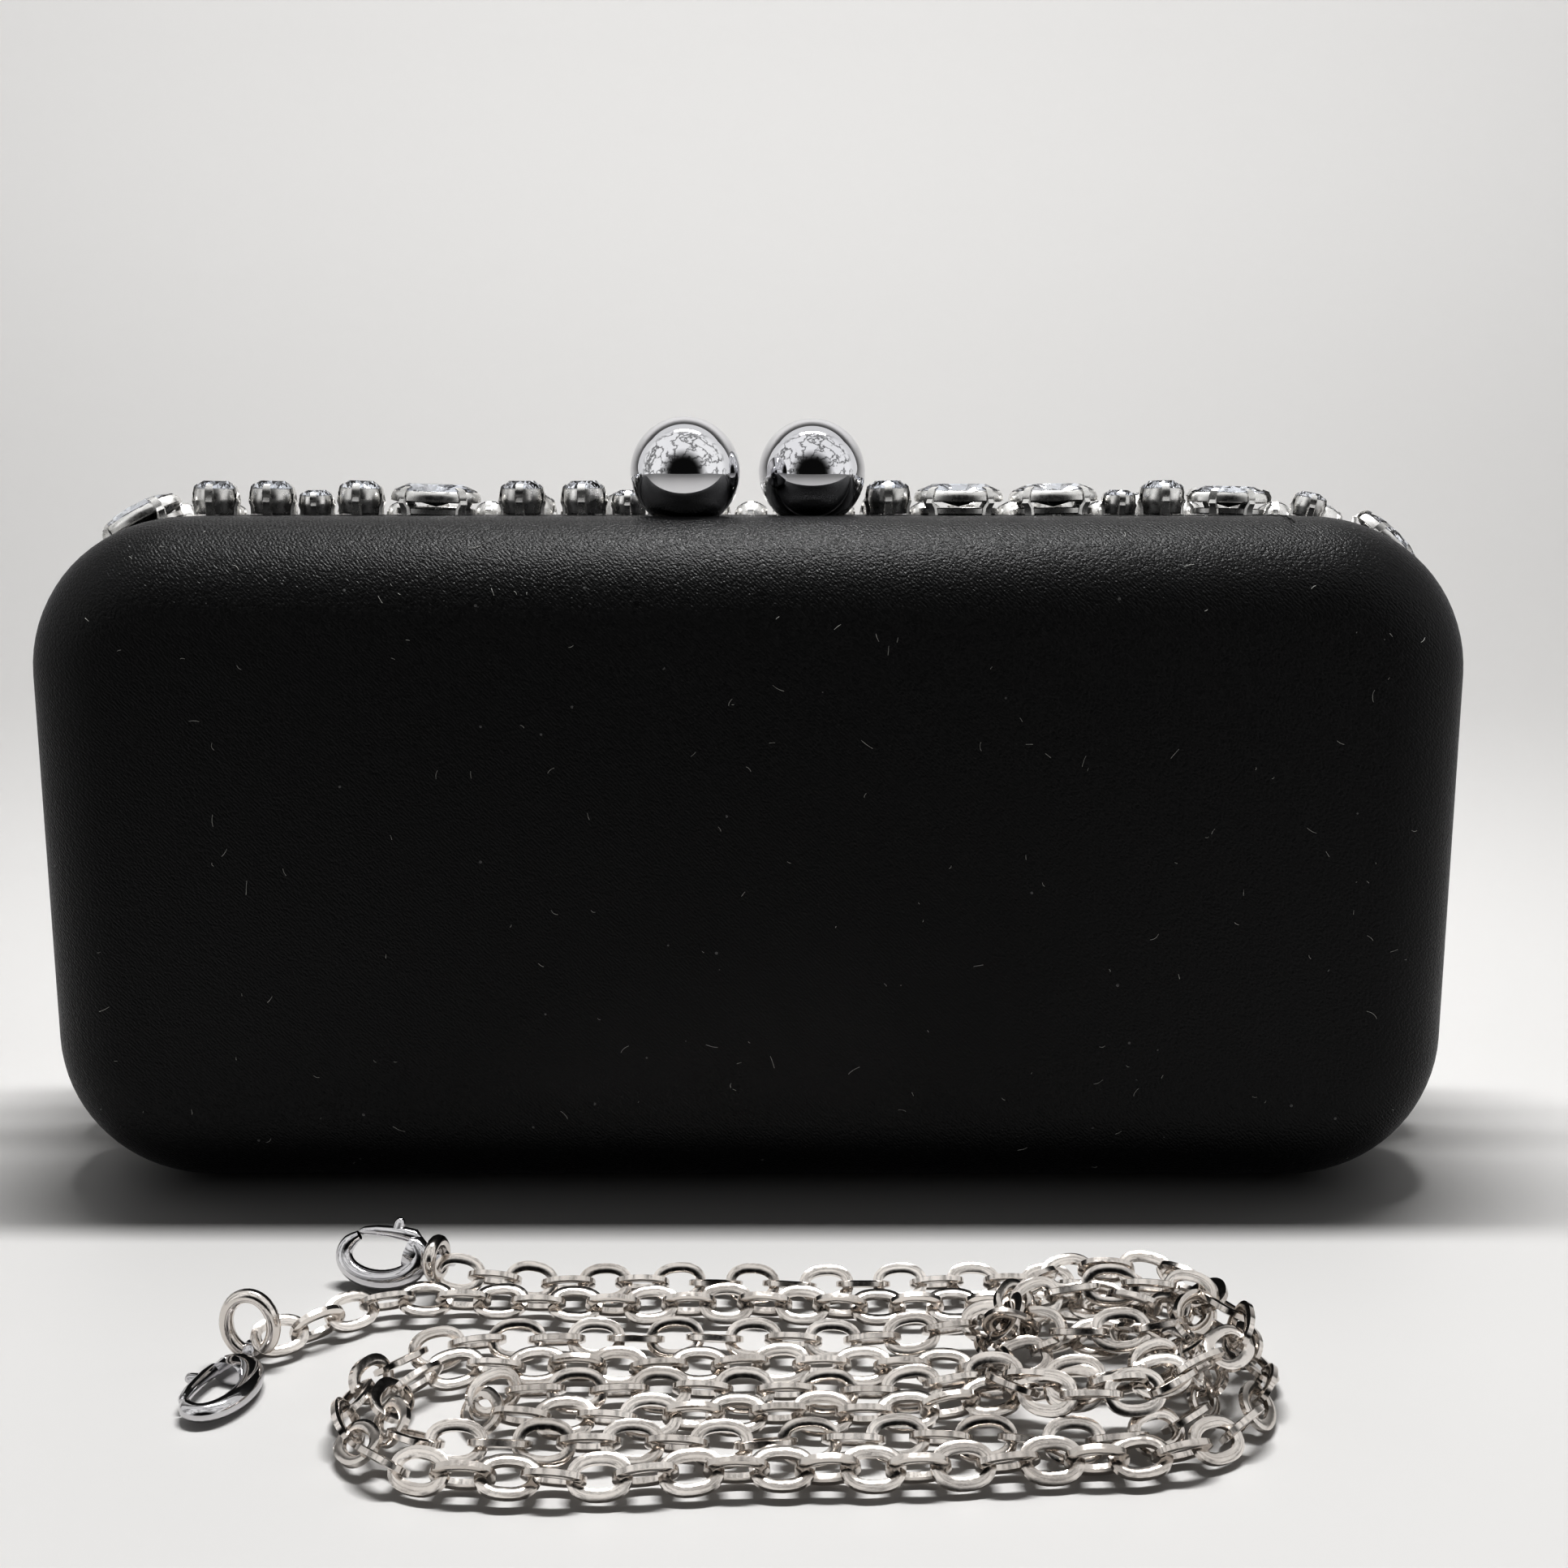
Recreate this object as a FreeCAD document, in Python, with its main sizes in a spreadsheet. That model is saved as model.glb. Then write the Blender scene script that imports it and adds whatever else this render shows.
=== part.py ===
import FreeCAD, Part
import Sketcher
import math
import os
from FreeCAD import Placement, Rotation, Vector

# Hard-shell evening bag: two satin covered trays on metal mouth frames, hinged along the bottom,
# closed by two balls on tilting stems, with claw-set crystals over the front tray and a cable
# chain strap with a lobster clasp at each end. Millimetres. X is the width, Z is up, and the
# back tray is on the -Y side of the plane where the two trays meet.

os.makedirs("parts", exist_ok=True)
doc = FreeCAD.newDocument("EveningBag")
sheet = doc.addObject("Spreadsheet::Sheet", "Sizes")

sizeList = [
    ("width", 222.0, "bag width"),
    ("height", 106.0, "bag height without the balls"),
    ("halfDepth", 24.5, "depth of one tray"),
    ("cornerRadius", 24.0, "outline corner, outside of the cover"),
    ("faceRadius", 15.0, "rounding between the sides and the large face"),
    ("mouthRadius", 4.0, "rounding of the cover at the mouth"),
    ("mouthGap", 0.15, "distance of a tray's mouth from the meeting plane"),
    ("coverThick", 1.2, "satin over thin foam"),
    ("wallThick", 3.6, "cover and shell together"),
    ("bandThick", 1.0, "mouth frame sheet"),
    ("bandDepth", 6.0, "mouth frame, from the meeting plane"),
    ("lipWidth", 2.0, "inward lip of the mouth frame"),
    ("liningThick", 0.8, "lining"),
    ("splitShift", -2.75, "meeting plane, from the middle of the whole bag"),
    ("hingeHeight", 1.9, "hinge axis above the floor"),
    ("hingePlace", 60.0, "hinge centre from the middle"),
    ("hingeLength", 24.0, "length of one hinge"),
    ("knuckle", 1.4, "knuckle radius"),
    ("hingePin", 0.7, "hinge pin radius"),
    ("runningGap", 0.05, "radial clearance of a moving pin"),
    ("knuckleGap", 0.3, "gap between knuckles"),
    ("ballRadius", 8.6, "closure ball"),
    ("ballPlace", 10.0, "ball centre from the middle"),
    ("ballDepth", 4.0, "ball centre from the meeting plane"),
    ("ballHeight", 112.7, "ball centre above the floor"),
    ("stem", 1.5, "ball stem radius"),
    ("stemHole", 2.6, "clearance hole for the stem"),
    ("pivotHeight", 97.4, "ball stem pivot above the floor"),
    ("pivotPin", 0.8, "ball stem pivot pin radius"),
    ("lugHeight", 76.5, "strap ring hole above the floor"),
    ("lugDepth", 6.4, "strap ring hole from the meeting plane"),
    ("ringMajor", 4.0, "strap ring, middle of the wire"),
    ("ringWire", 0.8, "strap ring wire radius"),
    ("chainWidth", 5.6, "width of a chain link"),
    ("clipThick", 3.0, "lobster clasp thickness"),
]
for row, (alias, value, note) in enumerate(sizeList, start=1):
    sheet.set(f"A{row}", str(value))
    sheet.setAlias(f"A{row}", alias)
    sheet.set(f"B{row}", note)
doc.recompute()
size = {alias: value for alias, value, note in sizeList}
BACK = -1
FRONT = 1
subParts = []


def keep(item, label):
    """Label a finished sub-part and stand it in the frame of the whole bag."""
    item.Label = label
    item.Placement = Placement(Vector(0, size["splitShift"], 0), Rotation())
    item.setExpression("Placement.Base.y", "Sizes.splitShift")
    subParts.append(item)
    return item


# --- outline blocks: rounded solids standing on the meeting plane -------------------------------

def role_plane(body, role):
    return [plane for plane in body.Origin.OriginFeatures if plane.Role == role][0]


def edges_between(shape, low, high, straight=False):
    """Names of the edges whose Y range is low to high."""
    names = []
    for number, edge in enumerate(shape.Edges, start=1):
        box = edge.BoundBox
        if abs(box.YMin - low) < 1e-4 and abs(box.YMax - high) < 1e-4:
            if not straight or edge.Curve.TypeId == "Part::GeomLine":
                names.append(f"Edge{number}")
    return names


def add_fillet(body, base, edges, radius, name):
    fillet = body.newObject("PartDesign::Fillet", name)
    fillet.Base = (base, edges)
    fillet.setExpression("Radius", radius)
    doc.recompute()
    return fillet


def block(name, side, inset, start, end, face=None, mouth=None):
    """Rounded rectangle inset from the outline, from depth start to depth end (expressions)."""
    body = doc.addObject("PartDesign::Body", name)
    sketch = body.newObject("Sketcher::SketchObject", name + "Outline")
    sketch.AttachmentSupport = [(role_plane(body, "XZ_Plane"), "")]
    sketch.MapMode = "FlatFace"
    corners = [Vector(-90, 10, 0), Vector(90, 10, 0), Vector(90, 90, 0), Vector(-90, 90, 0)]
    for number in range(4):
        sketch.addGeometry(Part.LineSegment(corners[number], corners[(number + 1) % 4]), False)
    for number in range(4):
        sketch.addConstraint(Sketcher.Constraint("Coincident", number, 2, (number + 1) % 4, 1))
    sketch.addConstraint([
        Sketcher.Constraint("Horizontal", 2),
        Sketcher.Constraint("Vertical", 1), Sketcher.Constraint("Vertical", 3),
        Sketcher.Constraint("Symmetric", 0, 1, 0, 2, -2),
    ])
    across = sketch.addConstraint(Sketcher.Constraint("DistanceX", 0, 1, 0, 2, 180.0))
    upright = sketch.addConstraint(Sketcher.Constraint("DistanceY", 1, 1, 1, 2, 80.0))
    floor = sketch.addConstraint(Sketcher.Constraint("DistanceY", -1, 1, 0, 1, 10.0))
    sketch.setExpression(f"Constraints[{across}]", f"Sizes.width - 2 * ({inset})")
    sketch.setExpression(f"Constraints[{upright}]", f"Sizes.height - 2 * ({inset})")
    sketch.setExpression(f"Constraints[{floor}]", inset)
    sketch.setExpression("AttachmentOffset.Base.z", f"{-side} * ({start})")
    pad = body.newObject("PartDesign::Pad", name + "Pad")
    pad.Profile = sketch
    pad.Reversed = side == FRONT
    pad.setExpression("Length", f"({end}) - ({start})")
    doc.recompute()
    box = pad.Shape.BoundBox
    sides = edges_between(pad.Shape, box.YMin, box.YMax, straight=True)
    last = add_fillet(body, pad, sides, f"Sizes.cornerRadius - ({inset})", name + "Corners")
    faceY, mouthY = (box.YMin, box.YMax) if side == BACK else (box.YMax, box.YMin)
    if face is not None:
        last = add_fillet(body, last, edges_between(last.Shape, faceY, faceY), face, name + "Face")
    if mouth is not None:
        last = add_fillet(body, last, edges_between(last.Shape, mouthY, mouthY), mouth, name + "Mouth")
    body.Tip = last
    return body


def fuse(name, items):
    joined = doc.addObject("Part::MultiFuse", name)
    joined.Shapes = items
    return joined


def cut(name, base, tools):
    piece = doc.addObject("Part::Cut", name)
    piece.Base = base
    piece.Tool = tools[0] if len(tools) == 1 else fuse(name + "Tools", tools)
    return piece


def primitive(kind, name, place, turn=None, **expressions):
    """Part primitive whose sizes and position (x, y, z) are expressions."""
    item = doc.addObject("Part::" + kind, name)
    if turn is not None:
        item.Placement = Placement(Vector(), turn)
    for key, value in expressions.items():
        item.setExpression(key, value)
    for axis, value in zip("xyz", place):
        item.setExpression("Placement.Base." + axis, value)
    return item


ALONG_X = Rotation(Vector(0, 1, 0), 90)
ALONG_Y = Rotation(Vector(1, 0, 0), -90)


def rod(name, place, radius, length, turn=None):
    return primitive("Cylinder", name, place, turn, Radius=radius, Height=length)


def box_at(name, place, length, width, height):
    return primitive("Box", name, place, Length=length, Width=width, Height=height)


def at_depth(side, low, high):
    """Y of a box corner, for a span of depths on one side of the meeting plane."""
    return f"-({high})" if side == BACK else f"{low}"


# --- the two trays ---------------------------------------------------------------------------

HINGE_SIDES = (-1, 1)
NOTCH_DEPTH = 1.7
NOTCH_TOP = 7.2
DIMPLE_GAP = 0.35
TILT_LIMIT = 6.0


def tray_cutouts(name, side):
    """Hinge notches through a tray's mouth, and the stem hole and dimple under its ball."""
    tools = []
    for place in HINGE_SIDES:
        tools.append(box_at(
            f"{name}Notch{'L' if place < 0 else 'R'}",
            (f"{place} * Sizes.hingePlace - Sizes.hingeLength / 2 - 0.6",
             at_depth(side, "-1", NOTCH_DEPTH), "-1"),
            "Sizes.hingeLength + 1.2", f"{NOTCH_DEPTH} + 1", f"{NOTCH_TOP} + 1"))
    ballX = f"{side} * Sizes.ballPlace"
    ballY = f"{side} * Sizes.ballDepth"
    tools.append(rod(name + "StemHole", (ballX, ballY, "Sizes.pivotHeight"), "Sizes.stemHole", "20"))
    reach = (size["ballHeight"] - size["pivotHeight"]) * math.sin(math.radians(TILT_LIMIT))
    for step, shift in enumerate((0.0, reach)):
        tools.append(primitive(
            "Sphere", f"{name}Dimple{step}", (f"{ballX} + {side * shift:.2f}", ballY, "Sizes.ballHeight"),
            Radius=f"Sizes.ballRadius + {DIMPLE_GAP}"))
    return tools


def make_tray(side, word):
    outer = block(word + "Outer", side, "0", "Sizes.mouthGap", "Sizes.halfDepth",
                  "Sizes.faceRadius", "Sizes.mouthRadius")
    middle = block(word + "Middle", side, "Sizes.coverThick", "Sizes.mouthGap + Sizes.coverThick",
                   "Sizes.halfDepth - Sizes.coverThick", "Sizes.faceRadius - Sizes.coverThick",
                   "Sizes.mouthRadius - Sizes.coverThick")
    cavity = block(word + "Cavity", side, "Sizes.wallThick", "-1",
                   "Sizes.halfDepth - Sizes.wallThick", "Sizes.faceRadius - Sizes.wallThick")
    inside = "Sizes.wallThick + Sizes.liningThick"
    lining = block(word + "LiningSolid", side, "Sizes.wallThick", "Sizes.bandDepth + 0.1",
                   "Sizes.halfDepth - Sizes.wallThick", "Sizes.faceRadius - Sizes.wallThick")
    hollow = block(word + "LiningHollow", side, inside, "Sizes.bandDepth - 1",
                   f"Sizes.halfDepth - ({inside})", f"Sizes.faceRadius - ({inside})")
    band = block(word + "BandSolid", side, "Sizes.wallThick", "Sizes.mouthGap", "Sizes.bandDepth")
    bandHollow = block(word + "BandHollow", side, "Sizes.wallThick + Sizes.bandThick",
                       "Sizes.mouthGap + Sizes.bandThick", "Sizes.bandDepth + 1")
    mouth = block(word + "MouthHollow", side,
                  "Sizes.wallThick + Sizes.bandThick + Sizes.lipWidth", "-1", "Sizes.bandDepth + 1")
    cutouts = tray_cutouts(word, side)
    keep(cut(word + "Cover", outer, [middle, cavity] + cutouts), f"{word}_cover")
    keep(cut(word + "Shell", middle, [cavity] + cutouts), f"{word}_shell")
    keep(cut(word + "Frame", band, [bandHollow, mouth] + cutouts[:3]), f"{word}_frame")
    keep(cut(word + "Lining", lining, [hollow]), f"{word}_lining")


# --- hinges ----------------------------------------------------------------------------------

WEB_START = 0.25
WEB_END = 1.15
RIVET_HEAD = 1.1


def hinge_leaf(side, word, place):
    """One leaf: knuckles on the axis, a web up each, and a plate along the frame band."""
    name = f"{word}Leaf{'L' if place < 0 else 'R'}"
    third = size["hingeLength"] / 6.0
    spans = [(-third, third)] if side == FRONT else [(-3 * third, -third), (third, 3 * third)]
    gap = size["knuckleGap"] / 2.0
    parts = []
    for number, (low, high) in enumerate(spans):
        low = low + (gap if low > -3 * third else 0.0)
        high = high - (gap if high < 3 * third else 0.0)
        startX = f"{place} * Sizes.hingePlace + {low:.3f}"
        parts.append(rod(f"{name}Knuckle{number}", (startX, "0", "Sizes.hingeHeight"),
                         "Sizes.knuckle", f"{high - low:.3f}", ALONG_X))
        parts.append(box_at(f"{name}Web{number}",
                            (startX, at_depth(side, WEB_START, WEB_END), "Sizes.hingeHeight"),
                            f"{high - low:.3f}", f"{WEB_END - WEB_START}",
                            "Sizes.wallThick + Sizes.bandThick + 0.8 - Sizes.hingeHeight"))
    parts.append(box_at(name + "Plate",
                        (f"{place} * Sizes.hingePlace - Sizes.hingeLength / 2",
                         at_depth(side, WEB_START, "Sizes.bandDepth - 0.4"),
                         "Sizes.wallThick + Sizes.bandThick"),
                        "Sizes.hingeLength", f"Sizes.bandDepth - 0.4 - {WEB_START}", "0.8"))
    bore = "Sizes.hingePin" if side == BACK else "Sizes.hingePin + Sizes.runningGap"
    hole = rod(name + "Bore", (f"{place} * Sizes.hingePlace - 15", "0", "Sizes.hingeHeight"),
               bore, "30", ALONG_X)
    return cut(name, fuse(name + "Solid", parts), [hole])


def make_hinges():
    for side, word in ((BACK, "back"), (FRONT, "front")):
        leaves = [hinge_leaf(side, word, place) for place in HINGE_SIDES]
        rivets = []
        for place in HINGE_SIDES:
            for spot in (-9.0, 9.0):
                name = f"{word}Rivet{len(rivets)}"
                rivets.append(rod(name, (f"{place} * Sizes.hingePlace + {spot}", f"{side * 3.9}",
                                         "Sizes.wallThick + Sizes.bandThick + 0.8"),
                                  f"{RIVET_HEAD}", "0.5"))
        group(leaves, f"{word}_hinge_leaves")
        group(rivets, f"{word}_hinge_rivets")
    pins = [rod(f"HingePin{'L' if place < 0 else 'R'}",
                (f"{place} * Sizes.hingePlace - Sizes.hingeLength / 2", "0", "Sizes.hingeHeight"),
                "Sizes.hingePin", "Sizes.hingeLength", ALONG_X) for place in HINGE_SIDES]
    group(pins, "hinge_pins")


def group(items, label):
    """Several separate solids of one sub-part."""
    bundle = doc.addObject("Part::Compound", label.replace("_", " ").title().replace(" ", "") + "Set")
    bundle.Links = items
    return keep(bundle, label)


# --- balls, stems and their pivots -----------------------------------------------------------

CHEEK_THICK = 0.8
EYE_LENGTH = 2.8
CHEEK_GAP = 0.2
PLATE_THICK = 1.0


def make_closure(side, word):
    ballX = f"{side} * Sizes.ballPlace"
    ballY = f"{side} * Sizes.ballDepth"
    bandTop = "Sizes.height - Sizes.wallThick - Sizes.bandThick"
    stemEnd = "Sizes.ballHeight - Sizes.ballRadius + 6"
    solid = primitive("Sphere", word + "BallSolid", (ballX, ballY, "Sizes.ballHeight"),
                      Radius="Sizes.ballRadius")
    socket = rod(word + "BallSocket", (ballX, ballY, "Sizes.ballHeight - Sizes.ballRadius - 1"),
                 "Sizes.stem", "7")
    keep(cut(word + "Ball", solid, [socket]), f"{word}_ball")
    pole = rod(word + "StemPole", (ballX, ballY, "Sizes.pivotHeight"), "Sizes.stem",
               f"{stemEnd} - Sizes.pivotHeight")
    eye = rod(word + "StemEye", (ballX, f"{ballY} - {EYE_LENGTH / 2}", "Sizes.pivotHeight"),
              "2.2", f"{EYE_LENGTH}", ALONG_Y)
    bore = rod(word + "StemBore", (ballX, f"{ballY} - 4", "Sizes.pivotHeight"),
               "Sizes.pivotPin + Sizes.runningGap", "8", ALONG_Y)
    keep(cut(word + "Stem", fuse(word + "StemSolid", [pole, eye]), [bore]), f"{word}_ball_stem")
    half = EYE_LENGTH / 2 + CHEEK_GAP + CHEEK_THICK
    parts = [box_at(word + "BracketPlate", (f"{ballX} - 6", f"{ballY} - {half}",
                                            f"{bandTop} - {PLATE_THICK}"),
                    "12", f"{2 * half}", f"{PLATE_THICK}")]
    for number, low in enumerate((-half, half - CHEEK_THICK)):
        parts.append(box_at(f"{word}BracketCheek{number}",
                            (f"{ballX} - 2.6", f"{ballY} + {low}", "Sizes.pivotHeight - 2.4"),
                            "5.2", f"{CHEEK_THICK}",
                            f"{bandTop} - Sizes.pivotHeight + 2.4 - {PLATE_THICK / 2}"))
    hole = rod(word + "BracketHole", (ballX, ballY, "Sizes.pivotHeight + 2"), "Sizes.stemHole", "8")
    bores = rod(word + "BracketBore", (ballX, f"{ballY} - 5", "Sizes.pivotHeight"),
                "Sizes.pivotPin", "10", ALONG_Y)
    keep(cut(word + "Bracket", fuse(word + "BracketSolid", parts), [hole, bores]), f"{word}_ball_bracket")
    pivot = rod(word + "Pivot", (ballX, f"{ballY} - {half + 0.3}", "Sizes.pivotHeight"),
                "Sizes.pivotPin", f"{2 * half + 0.6}", ALONG_Y)
    group([pivot], f"{word}_ball_pivot")
    springX = f"{ballX} + {side} * (Sizes.stem + 0.55)"
    if side == BACK:
        springX += " - 0.3"
    spring = box_at(word + "Spring", (springX, f"{ballY} - 1.1", f"{bandTop} - {PLATE_THICK} - 0.9"),
                    "0.3", "2.2", "0.9")
    group([spring], f"{word}_ball_spring")


# --- strap rings -----------------------------------------------------------------------------

EAR_REACH = 2.0
EAR_THICK = 1.0


def make_strap_ring(place, word):
    """Lug on the inside of the back frame's upright, and the ring that hangs in it."""
    wall = f"{place} * (Sizes.width / 2 - Sizes.wallThick - Sizes.bandThick)"
    holeX = f"{wall} - {place * EAR_REACH}"
    low = f"{wall} - {0.8 if place > 0 else 0.0}"
    plate = box_at(word + "LugPlate", (low, "-Sizes.lugDepth - 0.5", "Sizes.lugHeight - 4"),
                   "0.8", "4.6", "8")
    ear = rod(word + "LugEar", (holeX, f"-Sizes.lugDepth - {EAR_THICK / 2}", "Sizes.lugHeight"),
              "Sizes.ringWire + 1.1", f"{EAR_THICK}", ALONG_Y)
    web = box_at(word + "LugWeb", (wall if place < 0 else holeX, f"-Sizes.lugDepth - {EAR_THICK / 2}",
                                   "Sizes.lugHeight - 1.9"), f"{EAR_REACH}", f"{EAR_THICK}", "3.8")
    hole = rod(word + "LugHole", (holeX, "-Sizes.lugDepth - 3", "Sizes.lugHeight"),
               "Sizes.ringWire + 0.3", "6", ALONG_Y)
    keep(cut(word + "Lug", fuse(word + "LugSolid", [plate, ear, web]), [hole]), f"{word}_strap_lug")
    ring = primitive("Torus", word + "StrapRing",
                     (holeX, "-Sizes.lugDepth", "Sizes.lugHeight - Sizes.ringMajor"),
                     ALONG_X, Radius1="Sizes.ringMajor", Radius2="Sizes.ringWire")
    group([ring], f"{word}_strap_ring")


# --- crystals over the front tray ------------------------------------------------------------

# kind: length, width, height above the cover, sides of the outline, pull towards pointed ends
CRYSTALS = {
    "large_round": (7.4, 7.4, 5.5, 8, 0.0),
    "small_round": (5.6, 5.6, 4.0, 8, 0.0),
    "oval": (15.4, 10.0, 5.0, 12, 0.0),
    "navette": (14.0, 6.6, 4.6, 12, 0.5),
}
# crystals along the top edge and its corners, each with the place of its middle along the width
TOP_ROW = [
    (-99.0, "oval"), (-87.9, "large_round"), (-78.6, "large_round"), (-71.3, "small_round"),
    (-64.1, "large_round"), (-51.8, "oval"), (-37.5, "large_round"), (-27.3, "large_round"),
    (-20.0, "small_round"), (22.6, "large_round"), (34.2, "oval"), (49.8, "oval"),
    (60.5, "small_round"), (67.6, "large_round"), (78.6, "navette"), (91.4, "small_round"),
    (103.3, "navette"),
]
EDGE_ROW = 8.2
ROUND_ROWS = (30.0, 62.0)
FACE_ROWS = (16.5, 25.7, 34.9, 44.1)
FLOOR_CLEAR = 0.3


def gem_outline(kind, scale, z):
    length, width, _, count, point = CRYSTALS[kind]
    corners = []
    for number in range(count):
        angle = 2 * math.pi * (number + 0.5) / count if point == 0 else 2 * math.pi * number / count
        across = math.sin(angle) * abs(math.sin(angle)) ** point
        corners.append(Vector(scale * length / 2 * math.cos(angle), scale * width / 2 * across, z))
    return Part.makePolygon(corners + corners[:1])


def gem_solid(kind, levels):
    """Straight-sided solid through outlines given as (scale, z)."""
    return Part.makeLoft([gem_outline(kind, scale, z) for scale, z in levels], True, True)


def setting_shape(kind):
    """Open-topped metal cup that carries one crystal."""
    rise = 0.6 * CRYSTALS[kind][2]
    cup = gem_solid(kind, [(0.74, 0.0), (1.0, rise)])
    return cup.cut(gem_solid(kind, [(0.40, 0.35 * rise), (0.88, rise), (0.96, rise + 0.6)]))


def stone_shape(kind):
    """Faceted crystal: pavilion in the cup, crown and table above it."""
    height = CRYSTALS[kind][2]
    rise = 0.6 * height
    pavilion = gem_solid(kind, [(0.36, 0.35 * rise + 0.05), (0.86, rise + 0.02)])
    crown = gem_solid(kind, [(0.86, rise + 0.02), (0.50, height)])
    return pavilion.fuse(crown)


def outline_point(inset, travel):
    """Point and outward direction on the outline's right half, travel millimetres from its top."""
    halfWidth = size["width"] / 2 - inset
    halfHeight = size["height"] / 2 - inset
    radius = max(size["cornerRadius"] - inset, 3.0)
    middle = size["height"] / 2
    bend = radius * math.pi / 2
    flatTop = halfWidth - radius
    upright = 2 * (halfHeight - radius)
    if travel < flatTop:
        return travel, middle + halfHeight, 90.0
    travel -= flatTop
    if travel < bend:
        angle = 90.0 - math.degrees(travel / radius)
        return (flatTop + radius * math.cos(math.radians(angle)),
                middle + halfHeight - radius + radius * math.sin(math.radians(angle)), angle)
    travel -= bend
    if travel < upright:
        return halfWidth, middle + halfHeight - radius - travel, 0.0
    travel -= upright
    if travel < bend:
        angle = -math.degrees(travel / radius)
        return (flatTop + radius * math.cos(math.radians(angle)),
                middle - halfHeight + radius + radius * math.sin(math.radians(angle)), angle)
    travel -= bend
    if travel < flatTop:
        return flatTop - travel, middle - halfHeight, -90.0
    return None


def row_spot(inset, depth, lean, travel):
    """Place of a crystal: point, outward normal and the direction along its row."""
    found = outline_point(inset, travel)
    if found is None:
        return None
    x, z, angle = found
    out = Vector(math.cos(math.radians(angle)), 0, math.sin(math.radians(angle)))
    normal = out * math.cos(math.radians(lean)) + Vector(0, 1, 0) * math.sin(math.radians(lean))
    along = Vector(-out.z, 0, out.x)
    return Vector(x, depth, z), normal, along


def edge_spot(x):
    """Point, outward normal and direction along the top edge, which bends down at its corners."""
    flat = size["width"] / 2 - size["cornerRadius"]
    lean = math.asin(max(0.0, abs(x) - flat) / size["cornerRadius"])
    side = math.copysign(1.0, x)
    point = Vector(x, EDGE_ROW, size["height"] - size["cornerRadius"] * (1 - math.cos(lean)))
    return (point, Vector(side * math.sin(lean), 0, math.cos(lean)),
            Vector(math.cos(lean), 0, -side * math.sin(lean)))


def crystal_centres(kind, point, along):
    """Middles of the circles that cover a crystal's outline, and their radius."""
    length, width = CRYSTALS[kind][:2]
    reach = (length - width) / 2
    steps = (0.0,) if reach < 0.1 else (-1.0, 0.0, 1.0)
    return [point + along * (reach * step) for step in steps], width / 2


def crystal_layout():
    """Crystals as (kind, point, normal, along), none overlapping and none near the floor."""
    placed = []
    taken = []

    def add(kind, point, normal, along):
        centres, radius = crystal_centres(kind, point, along)
        height = CRYSTALS[kind][2]
        spread = CRYSTALS[kind][0] / 2 * math.sqrt(max(0.0, 1 - normal.z ** 2))
        if point.z - spread + min(0.0, normal.z * height) < FLOOR_CLEAR:
            return
        for centre in centres:
            for other, otherRadius in taken:
                if centre.distanceToPoint(other) < radius + otherRadius + 0.15:
                    return
        taken.extend((centre, radius) for centre in centres)
        placed.append((kind, point, normal, along))

    def add_row(inset, depth, lean, kinds, start, gap):
        travel = start
        count = 0
        while True:
            kind = kinds[count % len(kinds)]
            half = CRYSTALS[kind][0] / 2
            travel += half if count else 0.0
            spot = row_spot(inset, depth, lean, travel)
            if spot is None:
                return
            point, normal, along = spot
            add(kind, point, normal, along)
            if point.x > 0.01:
                mirror = Vector(-1, 1, 1)
                flip = [Vector(v.x * mirror.x, v.y, v.z) for v in (point, normal, along)]
                add(kind, *flip)
            travel += half + gap
            count += 1

    edgeStart = size["width"] / 2 - size["cornerRadius"] + 6.0
    for x, kind in TOP_ROW:
        add(kind, *edge_spot(x))
    add_row(0.0, EDGE_ROW, 0.0, ["large_round", "small_round"], edgeStart, 1.0)
    rounding = size["faceRadius"]
    for lean, kinds in zip(ROUND_ROWS, (["small_round", "large_round"], ["large_round"])):
        inset = rounding * (1 - math.cos(math.radians(lean)))
        depth = size["halfDepth"] - rounding + rounding * math.sin(math.radians(lean))
        add_row(inset, depth, lean, kinds, 0.0, 0.9)
    faceKinds = (["large_round"], ["oval", "small_round"], ["large_round", "navette"],
                 ["oval", "large_round"])
    for inset, kinds in zip(FACE_ROWS, faceKinds):
        add_row(inset, size["halfDepth"], 90.0, kinds, 0.0, 0.7)
    for number in range(-7, 8):
        add("small_round", Vector(8.0 * number, size["halfDepth"], size["height"] / 2),
            Vector(0, 1, 0), Vector(1, 0, 0))
    return placed


def make_crystals():
    layout = crystal_layout()
    for kind in CRYSTALS:
        for part, shape in (("settings", setting_shape(kind)), ("stones", stone_shape(kind))):
            copies = []
            for spotKind, point, normal, along in layout:
                if spotKind != kind:
                    continue
                turn = Rotation(along, Vector(), normal, "ZXY")
                copies.append(shape.transformGeometry(Placement(point, turn).toMatrix()))
            feature = doc.addObject("Part::Feature", f"{kind}_{part}")
            feature.Shape = Part.makeCompound(copies)
            keep(feature, f"{kind}_{part}")
            print(kind, part, len(copies))


# --- chain strap -----------------------------------------------------------------------------

# hank of chain on the floor in front of the back tray: its middle and its size
HANK = {"x": 7.5, "y": -80.0, "length": 117.0, "width": 52.0, "height": 8.5, "corner": 22.0, "edge": 3.0}
# first stretch of chain, from the jump ring of clasp a into the hank (x, y)
TAIL_ROUTE = [(-59.3, -72.7), (-54.2, -69.2), (-49.8, -63.6), (-43.6, -61.8)]
CLASPS = {
    "a": {"place": (-64.6, -90.0, 1.6), "yaw": 82.0, "roll": 0.0, "ring": 3.9},
    "b": {"place": (-57.2, -51.6, 4.6), "yaw": -9.0, "roll": 62.0, "ring": 3.0},
}
RING_WIRE = 0.65


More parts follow.
